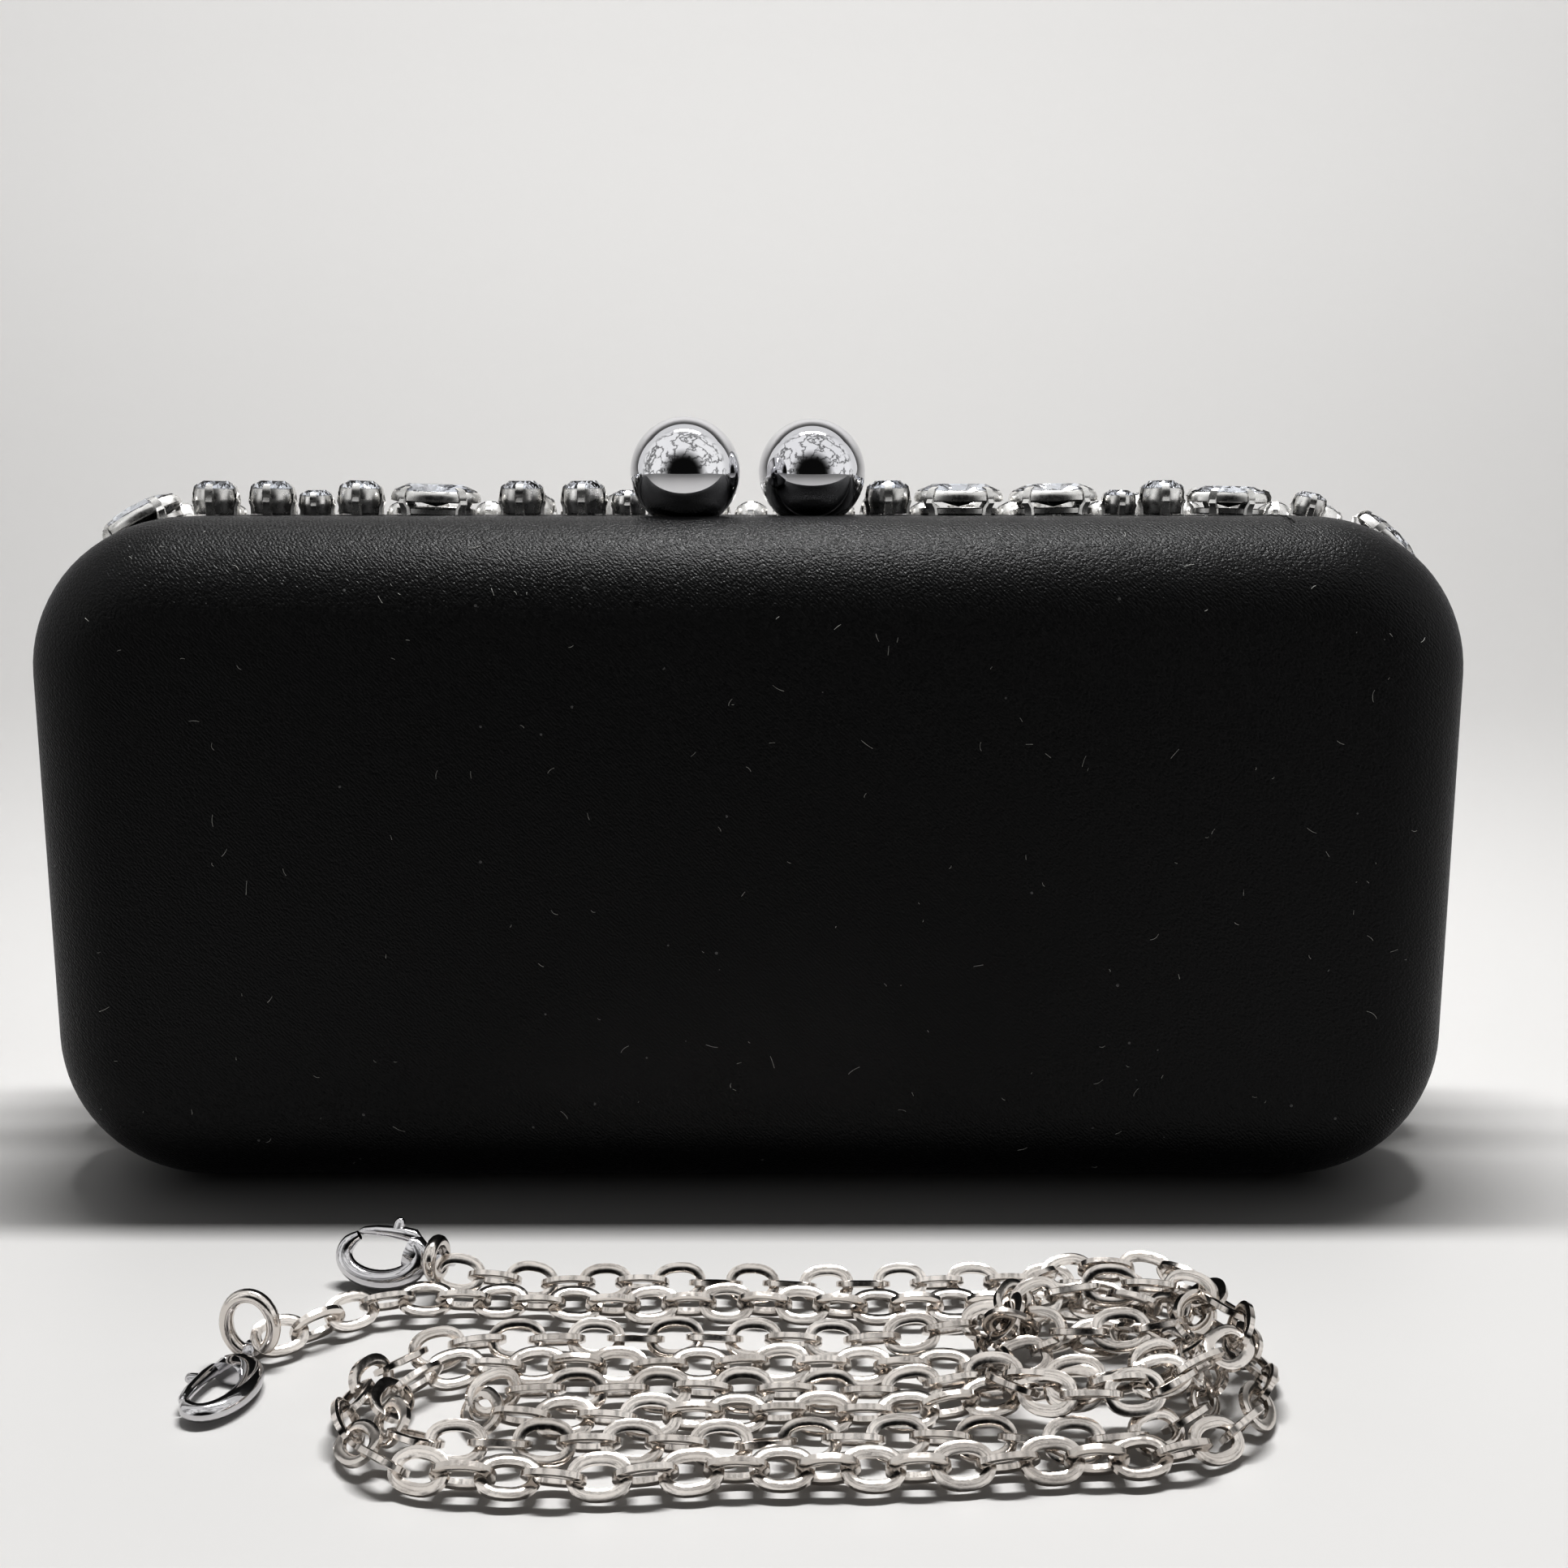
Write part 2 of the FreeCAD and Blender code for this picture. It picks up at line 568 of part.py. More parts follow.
def make_hank():
    body = doc.addObject("PartDesign::Body", "ChainHank")
    sketch = body.newObject("Sketcher::SketchObject", "ChainHankOutline")
    sketch.AttachmentSupport = [(role_plane(body, "XY_Plane"), "")]
    sketch.MapMode = "FlatFace"
    low = Vector(HANK["x"] - HANK["length"] / 2, HANK["y"] - HANK["width"] / 2, 0)
    high = Vector(HANK["x"] + HANK["length"] / 2, HANK["y"] + HANK["width"] / 2, 0)
    corners = [low, Vector(high.x, low.y, 0), high, Vector(low.x, high.y, 0)]
    for number in range(4):
        sketch.addGeometry(Part.LineSegment(corners[number], corners[(number + 1) % 4]), False)
    for number in range(4):
        sketch.addConstraint(Sketcher.Constraint("Coincident", number, 2, (number + 1) % 4, 1))
    pad = body.newObject("PartDesign::Pad", "ChainHankPad")
    pad.Profile = sketch
    pad.Length = HANK["height"]
    doc.recompute()
    uprights = []
    for number, edge in enumerate(pad.Shape.Edges, start=1):
        if edge.BoundBox.ZLength > HANK["height"] / 2:
            uprights.append(f"Edge{number}")
    last = add_fillet(body, pad, uprights, f"{HANK['corner']}", "ChainHankCorners")
    top = []
    for number, edge in enumerate(last.Shape.Edges, start=1):
        if edge.BoundBox.ZMin > HANK["height"] - 0.01:
            top.append(f"Edge{number}")
    body.Tip = add_fillet(body, last, top, f"{HANK['edge']}", "ChainHankTop")
    return keep(body, "chain_hank")


def rounded_path(points):
    """Straight runs joined by tangent arcs, and the arcs' radii."""
    edges = []
    radii = []
    last = points[0]
    for number in range(1, len(points) - 1):
        before = points[number] - points[number - 1]
        after = points[number + 1] - points[number]
        half = before.getAngle(after) / 2
        setback = 0.45 * min(before.Length, after.Length)
        radii.append(setback / math.tan(half))
        begin = points[number] - before.normalize() * setback
        end = points[number] + after.normalize() * setback
        toMiddle = (begin + end) * 0.5 - points[number]
        middle = points[number] + toMiddle.normalize() * (radii[-1] / math.cos(half) - radii[-1])
        edges.append(Part.LineSegment(last, begin).toShape())
        edges.append(Part.Arc(begin, middle, end).toShape())
        last = end
    edges.append(Part.LineSegment(last, points[-1]).toShape())
    return Part.Wire(edges), radii


def make_tail():
    """Chain between the jump ring and the hank, as a tube of the chain's width."""
    radius = size["chainWidth"] / 2
    points = [Vector(x, y, radius) for x, y in TAIL_ROUTE]
    wire, radii = rounded_path(points)
    circle = Part.Wire([Part.makeCircle(radius, points[0], points[1] - points[0])])
    tube = wire.makePipeShell([circle], True, True)
    print("chain tail radii", [round(value, 1) for value in radii], "length", round(wire.Length, 1),
          "volume ratio", round(tube.Volume / (math.pi * radius ** 2 * wire.Length), 4))
    feature = doc.addObject("Part::Feature", "ChainTail")
    feature.Shape = tube
    return keep(feature, "chain_tail")


def clasp_placement(clasp):
    turn = Rotation(Vector(0, 0, 1), clasp["yaw"]).multiply(Rotation(Vector(1, 0, 0), clasp["roll"]))
    return Placement(Vector(*clasp["place"]), turn)


def stadium(name, startX, endX, radius, height):
    """Two discs and a bar between them, centred on Z, along X."""
    bottom = f"-({height}) / 2"
    items = [rod(f"{name}Disc{number}", (f"{x}", "0", bottom), f"{radius}", height)
             for number, x in enumerate((startX, endX))]
    items.append(box_at(name + "Bar", (f"{startX}", f"-{radius}", bottom),
                        f"{endX - startX}", f"{2 * radius}", height))
    return fuse(name, items)


def make_clasp(letter):
    """Hook with an eye across its end, sprung lever, lever pin and jump ring."""
    clasp = CLASPS[letter]
    name = "Clasp" + letter.upper()
    place = clasp_placement(clasp)
    thick = "Sizes.clipThick"
    solid = fuse(name + "HookSolid", [
        stadium(name + "HookOutside", 4.4, 9.6, 4.4, thick),
        box_at(name + "Neck", ("13", "-1.1", f"-{thick} / 2 + 0.4"), "2", "2.2", f"{thick} - 0.8"),
        rod(name + "Eye", ("15.6", "-1", "0"), "1.6", "2", ALONG_Y),
    ])
    hook = cut(name + "Hook", solid, [
        stadium(name + "HookInside", 4.5, 8.2, 2.5, thick + " + 2"),
        box_at(name + "Throat", ("2.5", "1.0", f"-{thick}"), "7.1", "6", f"2 * {thick}"),
        box_at(name + "LeverSlot", ("9.5", "0.9", f"-{thick} / 2 + 0.6"), "3.1", "6", f"{thick} - 1.2"),
        rod(name + "EyeHole", ("15.6", "-3", "0"), "0.95", "6", ALONG_Y),
        rod(name + "PinHole", ("10.8", "3.0", f"-{thick}"), "0.5", f"2 * {thick}"),
    ])
    hook.Placement = place
    group([hook], f"clasp_{letter}_hook")
    leverThick = f"({thick} - 1.4)"
    lever = cut(name + "Lever", fuse(name + "LeverSolid", [
        box_at(name + "LeverBar", ("2.9", "2.3", f"-{leverThick} / 2"), "7.9", "1.7", leverThick),
        rod(name + "LeverRoot", ("10.8", "3.0", f"-{leverThick} / 2"), "1.2", leverThick),
        rod(name + "LeverNub", ("8.6", "4.2", f"-{leverThick} / 2"), "0.9", leverThick),
    ]), [rod(name + "LeverBore", ("10.8", "3.0", f"-{thick}"), "0.55", f"2 * {thick}")])
    lever.Placement = place
    group([lever], f"clasp_{letter}_lever")
    pin = rod(name + "Pin", ("10.8", "3.0", f"-{thick} / 2"), "0.5", thick)
    pinSet = fuse(name + "PinSolid", [pin, rod(name + "PinCore", ("10.8", "3.0", "-0.5"), "0.5", "1")])
    pinSet.Placement = place
    group([pinSet], f"clasp_{letter}_pin")
    eye = place.multVec(Vector(15.6, 0, 0))
    ring = doc.addObject("Part::Torus", name + "Ring")
    ring.Radius1 = clasp["ring"]
    ring.Radius2 = RING_WIRE
    ring.Placement = Placement(place.multVec(Vector(15.6, 0, clasp["ring"])),
                               place.Rotation.multiply(ALONG_X))
    group([ring], f"jump_ring_{letter}")
    axis = place.Rotation.multVec(Vector(0, 0, 1))
    pivot = place.multVec(Vector(10.8, 3.0, 0))
    print("clasp", letter, "pivot", [round(v, 3) for v in (pivot.x, pivot.y + size["splitShift"], pivot.z)],
          "axis", [round(v, 4) for v in axis], "eye", [round(v, 2) for v in eye])


make_tray(BACK, "back")
make_tray(FRONT, "front")
make_hinges()
make_closure(BACK, "left")
make_closure(FRONT, "right")
make_strap_ring(-1, "left")
make_strap_ring(1, "right")
make_crystals()
make_hank()
make_tail()
for letter in CLASPS:
    make_clasp(letter)
doc.recompute()

# --- check and write -------------------------------------------------------------------------

for item in doc.Objects:
    if "Invalid" in item.State or "Error" in item.State:
        raise RuntimeError(f"{item.Name}: {item.State} {item.getStatusString()}")
for item in subParts:
    shape = item.Shape
    if shape.isNull() or not shape.isValid():
        raise RuntimeError(f"{item.Label}: bad shape")
    shape.exportStep(f"parts/{item.Label}.step")
    box = shape.BoundBox
    print(f"{item.Label:24s} solids {len(shape.Solids):3d} volume {shape.Volume:10.1f}"
          f"  x {box.XMin:7.2f} {box.XMax:7.2f}  y {box.YMin:7.2f} {box.YMax:7.2f}"
          f"  z {box.ZMin:7.2f} {box.ZMax:7.2f}")
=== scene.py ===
import math
import random

import bmesh
import bpy
from mathutils import Euler, Matrix, Vector


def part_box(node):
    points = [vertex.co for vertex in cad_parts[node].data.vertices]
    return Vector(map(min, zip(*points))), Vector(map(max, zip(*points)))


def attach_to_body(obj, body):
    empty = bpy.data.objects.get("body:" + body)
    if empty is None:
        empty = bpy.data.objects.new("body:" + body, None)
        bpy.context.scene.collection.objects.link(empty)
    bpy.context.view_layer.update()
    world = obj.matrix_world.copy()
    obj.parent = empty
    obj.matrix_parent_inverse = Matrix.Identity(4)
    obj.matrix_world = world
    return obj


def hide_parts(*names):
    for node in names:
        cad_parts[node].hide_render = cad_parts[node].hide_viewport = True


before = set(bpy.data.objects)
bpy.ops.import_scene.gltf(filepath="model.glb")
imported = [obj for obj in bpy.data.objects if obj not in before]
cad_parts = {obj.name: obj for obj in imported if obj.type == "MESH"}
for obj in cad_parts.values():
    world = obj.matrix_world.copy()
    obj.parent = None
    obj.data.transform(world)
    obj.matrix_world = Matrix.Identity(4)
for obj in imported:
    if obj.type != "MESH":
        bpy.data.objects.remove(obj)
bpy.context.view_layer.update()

mm = 0.001
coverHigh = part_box("back_cover")[1]  # the satin back tray, whose mouth is on the +Y side
splitY = (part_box("back_frame")[1].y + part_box("front_frame")[0].y) / 2
bagHalfWidth = coverHigh.x
bagHeight = coverHigh.z
print("stage: frame loaded, bag", round(bagHalfWidth * 2000), "x", round(bagHeight * 1000), "mm")


# small tools

def linearColour(hexText, alpha=1.0):
    values = []
    for start in (1, 3, 5):
        part = int(hexText[start:start + 2], 16) / 255
        values.append(part / 12.92 if part <= 0.04045 else ((part + 0.055) / 1.055) ** 2.4)
    return (*values, alpha)


# adds a node; an input is a value, or the socket that feeds it
def addNode(tree, kind, settings=None, inputs=None):
    node = tree.nodes.new(kind)
    for key, value in (settings or {}).items():
        setattr(node, key, value)
    for key, value in (inputs or {}).items():
        socket = node.inputs[key]
        if isinstance(value, bpy.types.NodeSocket):
            tree.links.new(value, socket)
        else:
            socket.default_value = value
    return node


def newMaterial(name):
    material = bpy.data.materials.new(name)
    material.use_nodes = True
    tree = material.node_tree
    tree.nodes.clear()
    shader = addNode(tree, "ShaderNodeBsdfPrincipled")
    addNode(tree, "ShaderNodeOutputMaterial", inputs={"Surface": shader.outputs[0]})
    return material, tree, shader


def colourRamp(tree, factor, stops):
    ramp = addNode(tree, "ShaderNodeValToRGB", inputs={"Fac": factor})
    elements = ramp.color_ramp.elements
    elements[0].position, elements[0].color = stops[0]
    elements[1].position, elements[1].color = stops[-1]
    for position, colour in stops[1:-1]:
        elements.new(position).color = colour
    return ramp


def meshObject(name, mesh):
    piece = bpy.data.objects.new(name, mesh)
    bpy.context.scene.collection.objects.link(piece)
    return piece


# the evaluated object as a plain mesh object; the source is removed
def finishedMesh(source, name):
    bpy.context.view_layer.update()
    evaluated = source.evaluated_get(bpy.context.evaluated_depsgraph_get())
    mesh = bpy.data.meshes.new_from_object(evaluated)
    mesh.name = name
    bpy.data.objects.remove(source)
    return meshObject(name, mesh)


# mesh of what was built, with its faces turned outward
def builtMesh(build, name):
    bmesh.ops.recalc_face_normals(build, faces=build.faces)
    mesh = bpy.data.meshes.new(name)
    build.to_mesh(mesh)
    build.free()
    return mesh


# faces between neighbouring rings of vertices; closed joins the last ring to the first
def bridgeRings(build, rings, closed=False):
    count = len(rings[0])
    for number in range(len(rings) if closed else len(rings) - 1):
        here, there = rings[number], rings[(number + 1) % len(rings)]
        for corner in range(count):
            after = (corner + 1) % count
            build.faces.new((here[corner], here[after], there[after], there[corner]))


def shadeSmooth(piece, angle=None):
    piece.data.polygons.foreach_set("use_smooth", [True] * len(piece.data.polygons))
    if angle is not None:
        piece.data.set_sharp_from_angle(angle=math.radians(angle))
    piece.data.update()


def paint(piece, material):
    piece.data.materials.clear()
    piece.data.materials.append(material)
    piece.data.polygons.foreach_set("material_index", [0] * len(piece.data.polygons))
    return piece


# camera: behind the bag's plain side, a little above its top edge

cameraPlace = {"x": 5.5, "y": -278.0, "aboveTop": 4.4, "pitch": 9.8, "lens": 39.41}


def makeCamera():
    data = bpy.data.cameras.new("camera")
    data.sensor_width = 36.0
    data.lens = cameraPlace["lens"]
    data.clip_start = 0.01
    camera = bpy.data.objects.new("camera", data)
    camera.location = (cameraPlace["x"] * mm, splitY + cameraPlace["y"] * mm,
                       bagHeight + cameraPlace["aboveTop"] * mm)
    camera.rotation_euler = (math.radians(90.0 - cameraPlace["pitch"]), 0, 0)
    bpy.context.scene.collection.objects.link(camera)
    bpy.context.scene.camera = camera


makeCamera()


# studio: white cloth tent with an open door on the camera's side, and one narrow strip lamp

studio = {"floorColour": "#C6C5C4", "sweepStart": 0.55, "sweepRadius": 0.5, "halfWidth": 2.2,
          "backLevel": 0.9, "tentLevel": (0.25, 1.1), "tentSpill": 0.12, "doorLevel": 0.01,
          "seenLevel": 0.85}
# place, turn in degrees, size and watts
lamps = {
    "stripLamp": ((0.02, 0.035, 0.62), (0, 0, 0), (0.34, 0.04), 5.5),
    "sweepLamp": ((0.0, 0.40, 0.95), (70, 0, 0), (2.6, 0.5), 19.0),
}


def makeSweep():
    profile = [(-1.6, 0.0), (studio["sweepStart"], 0.0)]
    radius = studio["sweepRadius"]
    for step in range(1, 13):
        angle = math.radians(step * 7.5)
        profile.append((studio["sweepStart"] + radius * math.sin(angle), radius * (1 - math.cos(angle))))
    profile.append((studio["sweepStart"] + radius, 2.2))
    vertices = [(side * studio["halfWidth"], y, z) for y, z in profile for side in (-1, 1)]
    faces = [(2 * k, 2 * k + 1, 2 * k + 3, 2 * k + 2) for k in range(len(profile) - 1)]
    mesh = bpy.data.meshes.new("sweep")
    mesh.from_pydata(vertices, [], faces)
    sweep = meshObject("sweep", mesh)
    shadeSmooth(sweep)
    material, _, shader = newMaterial("matt white paper sweep")
    shader.inputs["Base Color"].default_value = linearColour(studio["floorColour"])
    shader.inputs["Roughness"].default_value = 0.55
    sweep.data.materials.append(material)


def makeLight():
    world = bpy.data.worlds.new("studio")
    world.use_nodes = True
    tree = world.node_tree
    towards = addNode(tree, "ShaderNodeTexCoord").outputs["Generated"]
    parts = addNode(tree, "ShaderNodeSeparateXYZ", inputs={"Vector": towards})
    waves = addNode(tree, "ShaderNodeTexNoise", inputs={"Vector": towards, "Scale": 3.2, "Detail": 3.0})
    middle = addNode(tree, "ShaderNodeMath", {"operation": "SUBTRACT"}, {0: waves.outputs["Fac"], 1: 0.5})
    folds = addNode(tree, "ShaderNodeMath", {"operation": "ABSOLUTE"}, {0: middle.outputs[0]})
    cloth = addNode(tree, "ShaderNodeMapRange", inputs={
        "Value": folds.outputs[0], "From Min": 0.004, "From Max": 0.055,
        "To Min": studio["tentLevel"][0], "To Max": studio["tentLevel"][1]})
    ray = addNode(tree, "ShaderNodeLightPath")
    share = addNode(tree, "ShaderNodeMapRange", inputs={
        "Value": ray.outputs["Is Glossy Ray"], "To Min": studio["tentSpill"], "To Max": 1.0})
    front = addNode(tree, "ShaderNodeMath", {"operation": "MULTIPLY"},
                    {0: cloth.outputs["Result"], 1: share.outputs["Result"]})
    behind = addNode(tree, "ShaderNodeMapRange", {"interpolation_type": "SMOOTHSTEP"}, {
        "Value": parts.outputs["Y"], "From Min": -0.1, "From Max": 0.25,
        "To Min": front.outputs[0], "To Max": studio["backLevel"]})
    level = addNode(tree, "ShaderNodeMapRange", {"interpolation_type": "SMOOTHSTEP"}, {
        "Value": parts.outputs["Y"], "From Min": -0.9, "From Max": -0.62,
        "To Min": studio["doorLevel"], "To Max": behind.outputs["Result"]})
    background = tree.nodes["Background"]
    background.inputs["Color"].default_value = linearColour("#FFFFFF")
    seen = addNode(tree, "ShaderNodeMapRange", inputs={
        "Value": ray.outputs["Is Camera Ray"], "To Min": level.outputs["Result"],
        "To Max": studio["seenLevel"]})
    tree.links.new(seen.outputs["Result"], background.inputs["Strength"])
    bpy.context.scene.world = world
    for name, (place, turn, extent, watts) in lamps.items():
        data = bpy.data.lights.new(name, "AREA")
        data.shape = "RECTANGLE"
        data.size, data.size_y = extent
        data.energy = watts
        lamp = bpy.data.objects.new(name, data)
        lamp.location = place
        lamp.rotation_euler = [math.radians(angle) for angle in turn]
        bpy.context.scene.collection.objects.link(lamp)


makeSweep()
makeLight()
bpy.context.scene.view_settings.view_transform = "Standard"
bpy.context.scene.view_settings.gamma = 0.77  # deep blacks
print("stage: camera and studio ready")


# metals

# solid metal: base colour with faint tarnish, roughness that varies, and fine grain relief
def metalMaterial(name, colour, roughness, grainScale, grainDepth, tarnish, spread):
    material, tree, shader = newMaterial(name)
    place = addNode(tree, "ShaderNodeTexCoord").outputs["Object"]
    cloud = addNode(tree, "ShaderNodeTexNoise", inputs={"Vector": place, "Scale": 90.0, "Detail": 3.0})
    tone = colourRamp(tree, cloud.outputs["Fac"],
                      [(0.35, linearColour(tarnish)), (0.65, linearColour(colour))])
    tree.links.new(tone.outputs["Color"], shader.inputs["Base Color"])
    shader.inputs["Metallic"].default_value = 1.0
    grain = addNode(tree, "ShaderNodeTexNoise", inputs={"Vector": place, "Scale": grainScale, "Detail": 4.0})
    rough = addNode(tree, "ShaderNodeMapRange", inputs={
        "Value": grain.outputs["Fac"], "From Min": 0.3, "From Max": 0.7,
        "To Min": roughness - spread, "To Max": roughness + spread})
    tree.links.new(rough.outputs["Result"], shader.inputs["Roughness"])
    bump = addNode(tree, "ShaderNodeBump", inputs={
        "Height": grain.outputs["Fac"], "Strength": grainDepth, "Distance": 0.05 * mm})
    tree.links.new(bump.outputs["Normal"], shader.inputs["Normal"])
    return material


# silver plated steel wire, pressed flat: bright, slightly worn faces
chainMetal = metalMaterial("silver plated steel chain", "#E6E1DC", 0.15, 1400.0, 0.3, "#CBC5BF", 0.06)
# rhodium plated zinc casting: smooth, with a darker reflection
claspMetal = metalMaterial("plated zinc casting", "#DAD9DA", 0.09, 700.0, 0.12, "#C9C8CA", 0.03)
# nickel plated steel strip, drawn: faint lines, medium gloss
frameMetal = metalMaterial("nickel plated steel strip", "#CFCECC", 0.22, 700.0, 0.1, "#BDBBB9", 0.05)
# pressed brass cup with bright plating: soft gloss
settingMetal = metalMaterial("bright plated claw setting", "#F2F1EF", 0.28, 1100.0, 0.2, "#DAD9D7", 0.06)


# chain strap: one route from clasp a to clasp b, wound into an oval hank

chain = {
    "linkLength": 7.5, "linkWidth": 5.5, "wireWidth": 1.4, "wireThick": 0.92, "pitch": 5.05,
    "lie": 2.7,  # height of the line of a link that leans 45 degrees on the table
    "layer": 4.6,  # rise of one layer of chain over another
    "tail": [(-59.3, -72.7), (-54.2, -69.2), (-49.8, -63.6), (-43.6, -62.4)],
    "spread": 0.55,  # unevenness of a run
    "roll": 36.0, "looseness": 0.2,  # turn of the first link in degrees, random sway in radians
}


# a point of the strap, from millimetres in front of the plane where the trays meet
def placed(x, y, z):
    return Vector((x * mm, splitY + y * mm, z * mm))


# a run of the hank, with slight unevenness
def straight(route, startX, endX, startY, endY, rise=0.0):
    count = max(2, round(abs(endX - startX) / 11.0))
    for step in range(1, count):
        share = step / count
        wobble = chain["spread"] * math.sin(1.9 * step + startY)
        route.append(placed(startX + (endX - startX) * share, startY + (endY - startY) * share + wobble,
                            chain["lie"] + rise))


# a turn of the hank about a centre, from one angle to another, in degrees
def bend(route, centre, reach, start, end, rises=(0.0, 0.0, 0.0)):
    count = max(4, round(abs(end - start) / 26.0))
    for step in range(count + 1):
        share = step / count
        angle = math.radians(start + (end - start) * share)
        rise = (rises[0] * (1 - share) ** 2 + 2 * rises[1] * share * (1 - share) + rises[2] * share ** 2)
        route.append(placed(centre[0] + reach[0] * math.cos(angle), centre[1] + reach[1] * math.sin(angle),
                            chain["lie"] + rise * chain["layer"]))


# tail from clasp a, then the turns of the doubled and coiled chain, ending at clasp b
def chainRoute():
    route = [placed(x, y, chain["lie"] + 0.3) for x, y in chain["tail"]]
    straight(route, -43.6, 40.0, -63.0, -64.3)
    bend(route, (41.0, -81.0), (17.0, 16.2), 84.0, -84.0)
    straight(route, 41.0, -30.0, -96.2, -98.0)
    bend(route, (-32.0, -88.8), (9.8, 9.0), -96.0, -262.0)
    straight(route, -30.0, 27.0, -79.8, -80.2)
    bend(route, (43.0, -86.5), (11.5, 8.0), 150.0, -190.0, (0.2, 1.7, 0.4))
    bend(route, (42.0, -80.5), (13.5, 10.5), 140.0, -150.0, (0.3, 2.0, 0.5))
    straight(route, 30.0, -25.0, -86.0, -85.8)
    bend(route, (-27.5, -88.7), (3.6, 3.0), 86.0, 274.0)
    straight(route, -25.0, 30.0, -91.7, -91.0)
    bend(route, (46.0, -82.0), (15.5, 10.5), -140.0, 165.0, (0.4, 2.6, 0.8))
    bend(route, (47.0, -74.0), (12.5, 7.5), 200.0, -200.0, (0.9, 2.2, 0.5))
    straight(route, 28.0, -29.0, -73.4, -73.0)
    bend(route, (-31.0, -88.6), (15.6, 15.4), 96.0, 262.0)
    straight(route, -29.0, 43.0, -104.6, -101.0)
    bend(route, (44.0, -79.2), (21.0, 21.6), -82.0, 84.0)
    straight(route, 44.0, -38.0, -57.4, -57.6)
    route.append(placed(-39.2, -57.0, chain["lie"] + 1.2))
    return route


def makeRouteCurve(points):
    data = bpy.data.curves.new("chainRoute", "CURVE")
    data.dimensions = "3D"
    spline = data.splines.new("NURBS")
    spline.points.add(len(points) - 1)
    for point, place in zip(spline.points, points):
        point.co = (*place, 1.0)
    spline.order_u = 3
    spline.use_endpoint_u = True
    spline.resolution_u = 10
    data.twist_mode = "Z_UP"
    curve = bpy.data.objects.new("chainRoute", data)
    bpy.context.scene.collection.objects.link(curve)
    return curve


# points along the route's smooth curve
def routeLine(curve):
    bpy.context.view_layer.update()
    line = bpy.data.meshes.new_from_object(curve.evaluated_get(bpy.context.evaluated_depsgraph_get()))
    points = [vertex.co.copy() for vertex in line.vertices]
    bpy.data.meshes.remove(line)
    return points


# closed oval of flattened wire in the XY plane, its broad faces up and down
def ovalWire(name, length, width, wireWidth, wireThick, steps=28, flat=0.55):
    build = bmesh.new()
    a = (length - wireWidth) / 2
    b = (width - wireWidth) / 2
    section = []
    for corner in range(8):
        angle = math.radians(22.5 + 45 * corner)
        x, z = math.cos(angle), math.sin(angle)
        section.append((x * wireWidth / 2 * 1.04, max(-flat, min(flat, z)) / flat * wireThick / 2))
    rings = []
    for step in range(steps):
        angle = 2 * math.pi * step / steps
        x = a * math.copysign(abs(math.cos(angle)) ** 0.86, math.cos(angle))
        y = b * math.copysign(abs(math.sin(angle)) ** 0.86, math.sin(angle))
        out = Vector((math.cos(angle) / a, math.sin(angle) / b, 0)).normalized()
        rings.append([build.verts.new(Vector((x, y, 0)) + out * s + Vector((0, 0, t))) for s, t in section])
    bridgeRings(build, rings, True)
    return builtMesh(build, name)


# geometry nodes group with named inputs; gives the tree, its input node and its output node
def newTree(name, sockets):
    tree = bpy.data.node_groups.new(name, "GeometryNodeTree")
    tree.interface.new_socket("Geometry", in_out="INPUT", socket_type="NodeSocketGeometry")
    tree.interface.new_socket("Geometry", in_out="OUTPUT", socket_type="NodeSocketGeometry")
    for label, kind in sockets:
        tree.interface.new_socket(label, in_out="INPUT", socket_type=kind)
    return tree, addNode(tree, "NodeGroupInput"), addNode(tree, "NodeGroupOutput")


# adds the tree as a modifier and sets its inputs by identifier
def attach(piece, tree, values):
    modifier = piece.modifiers.new(tree.name, "NODES")
    modifier.node_group = tree
    for item in tree.interface.items_tree:
        if item.in_out == "INPUT" and item.name in values:
            modifier[item.identifier] = values[item.name]
    return modifier


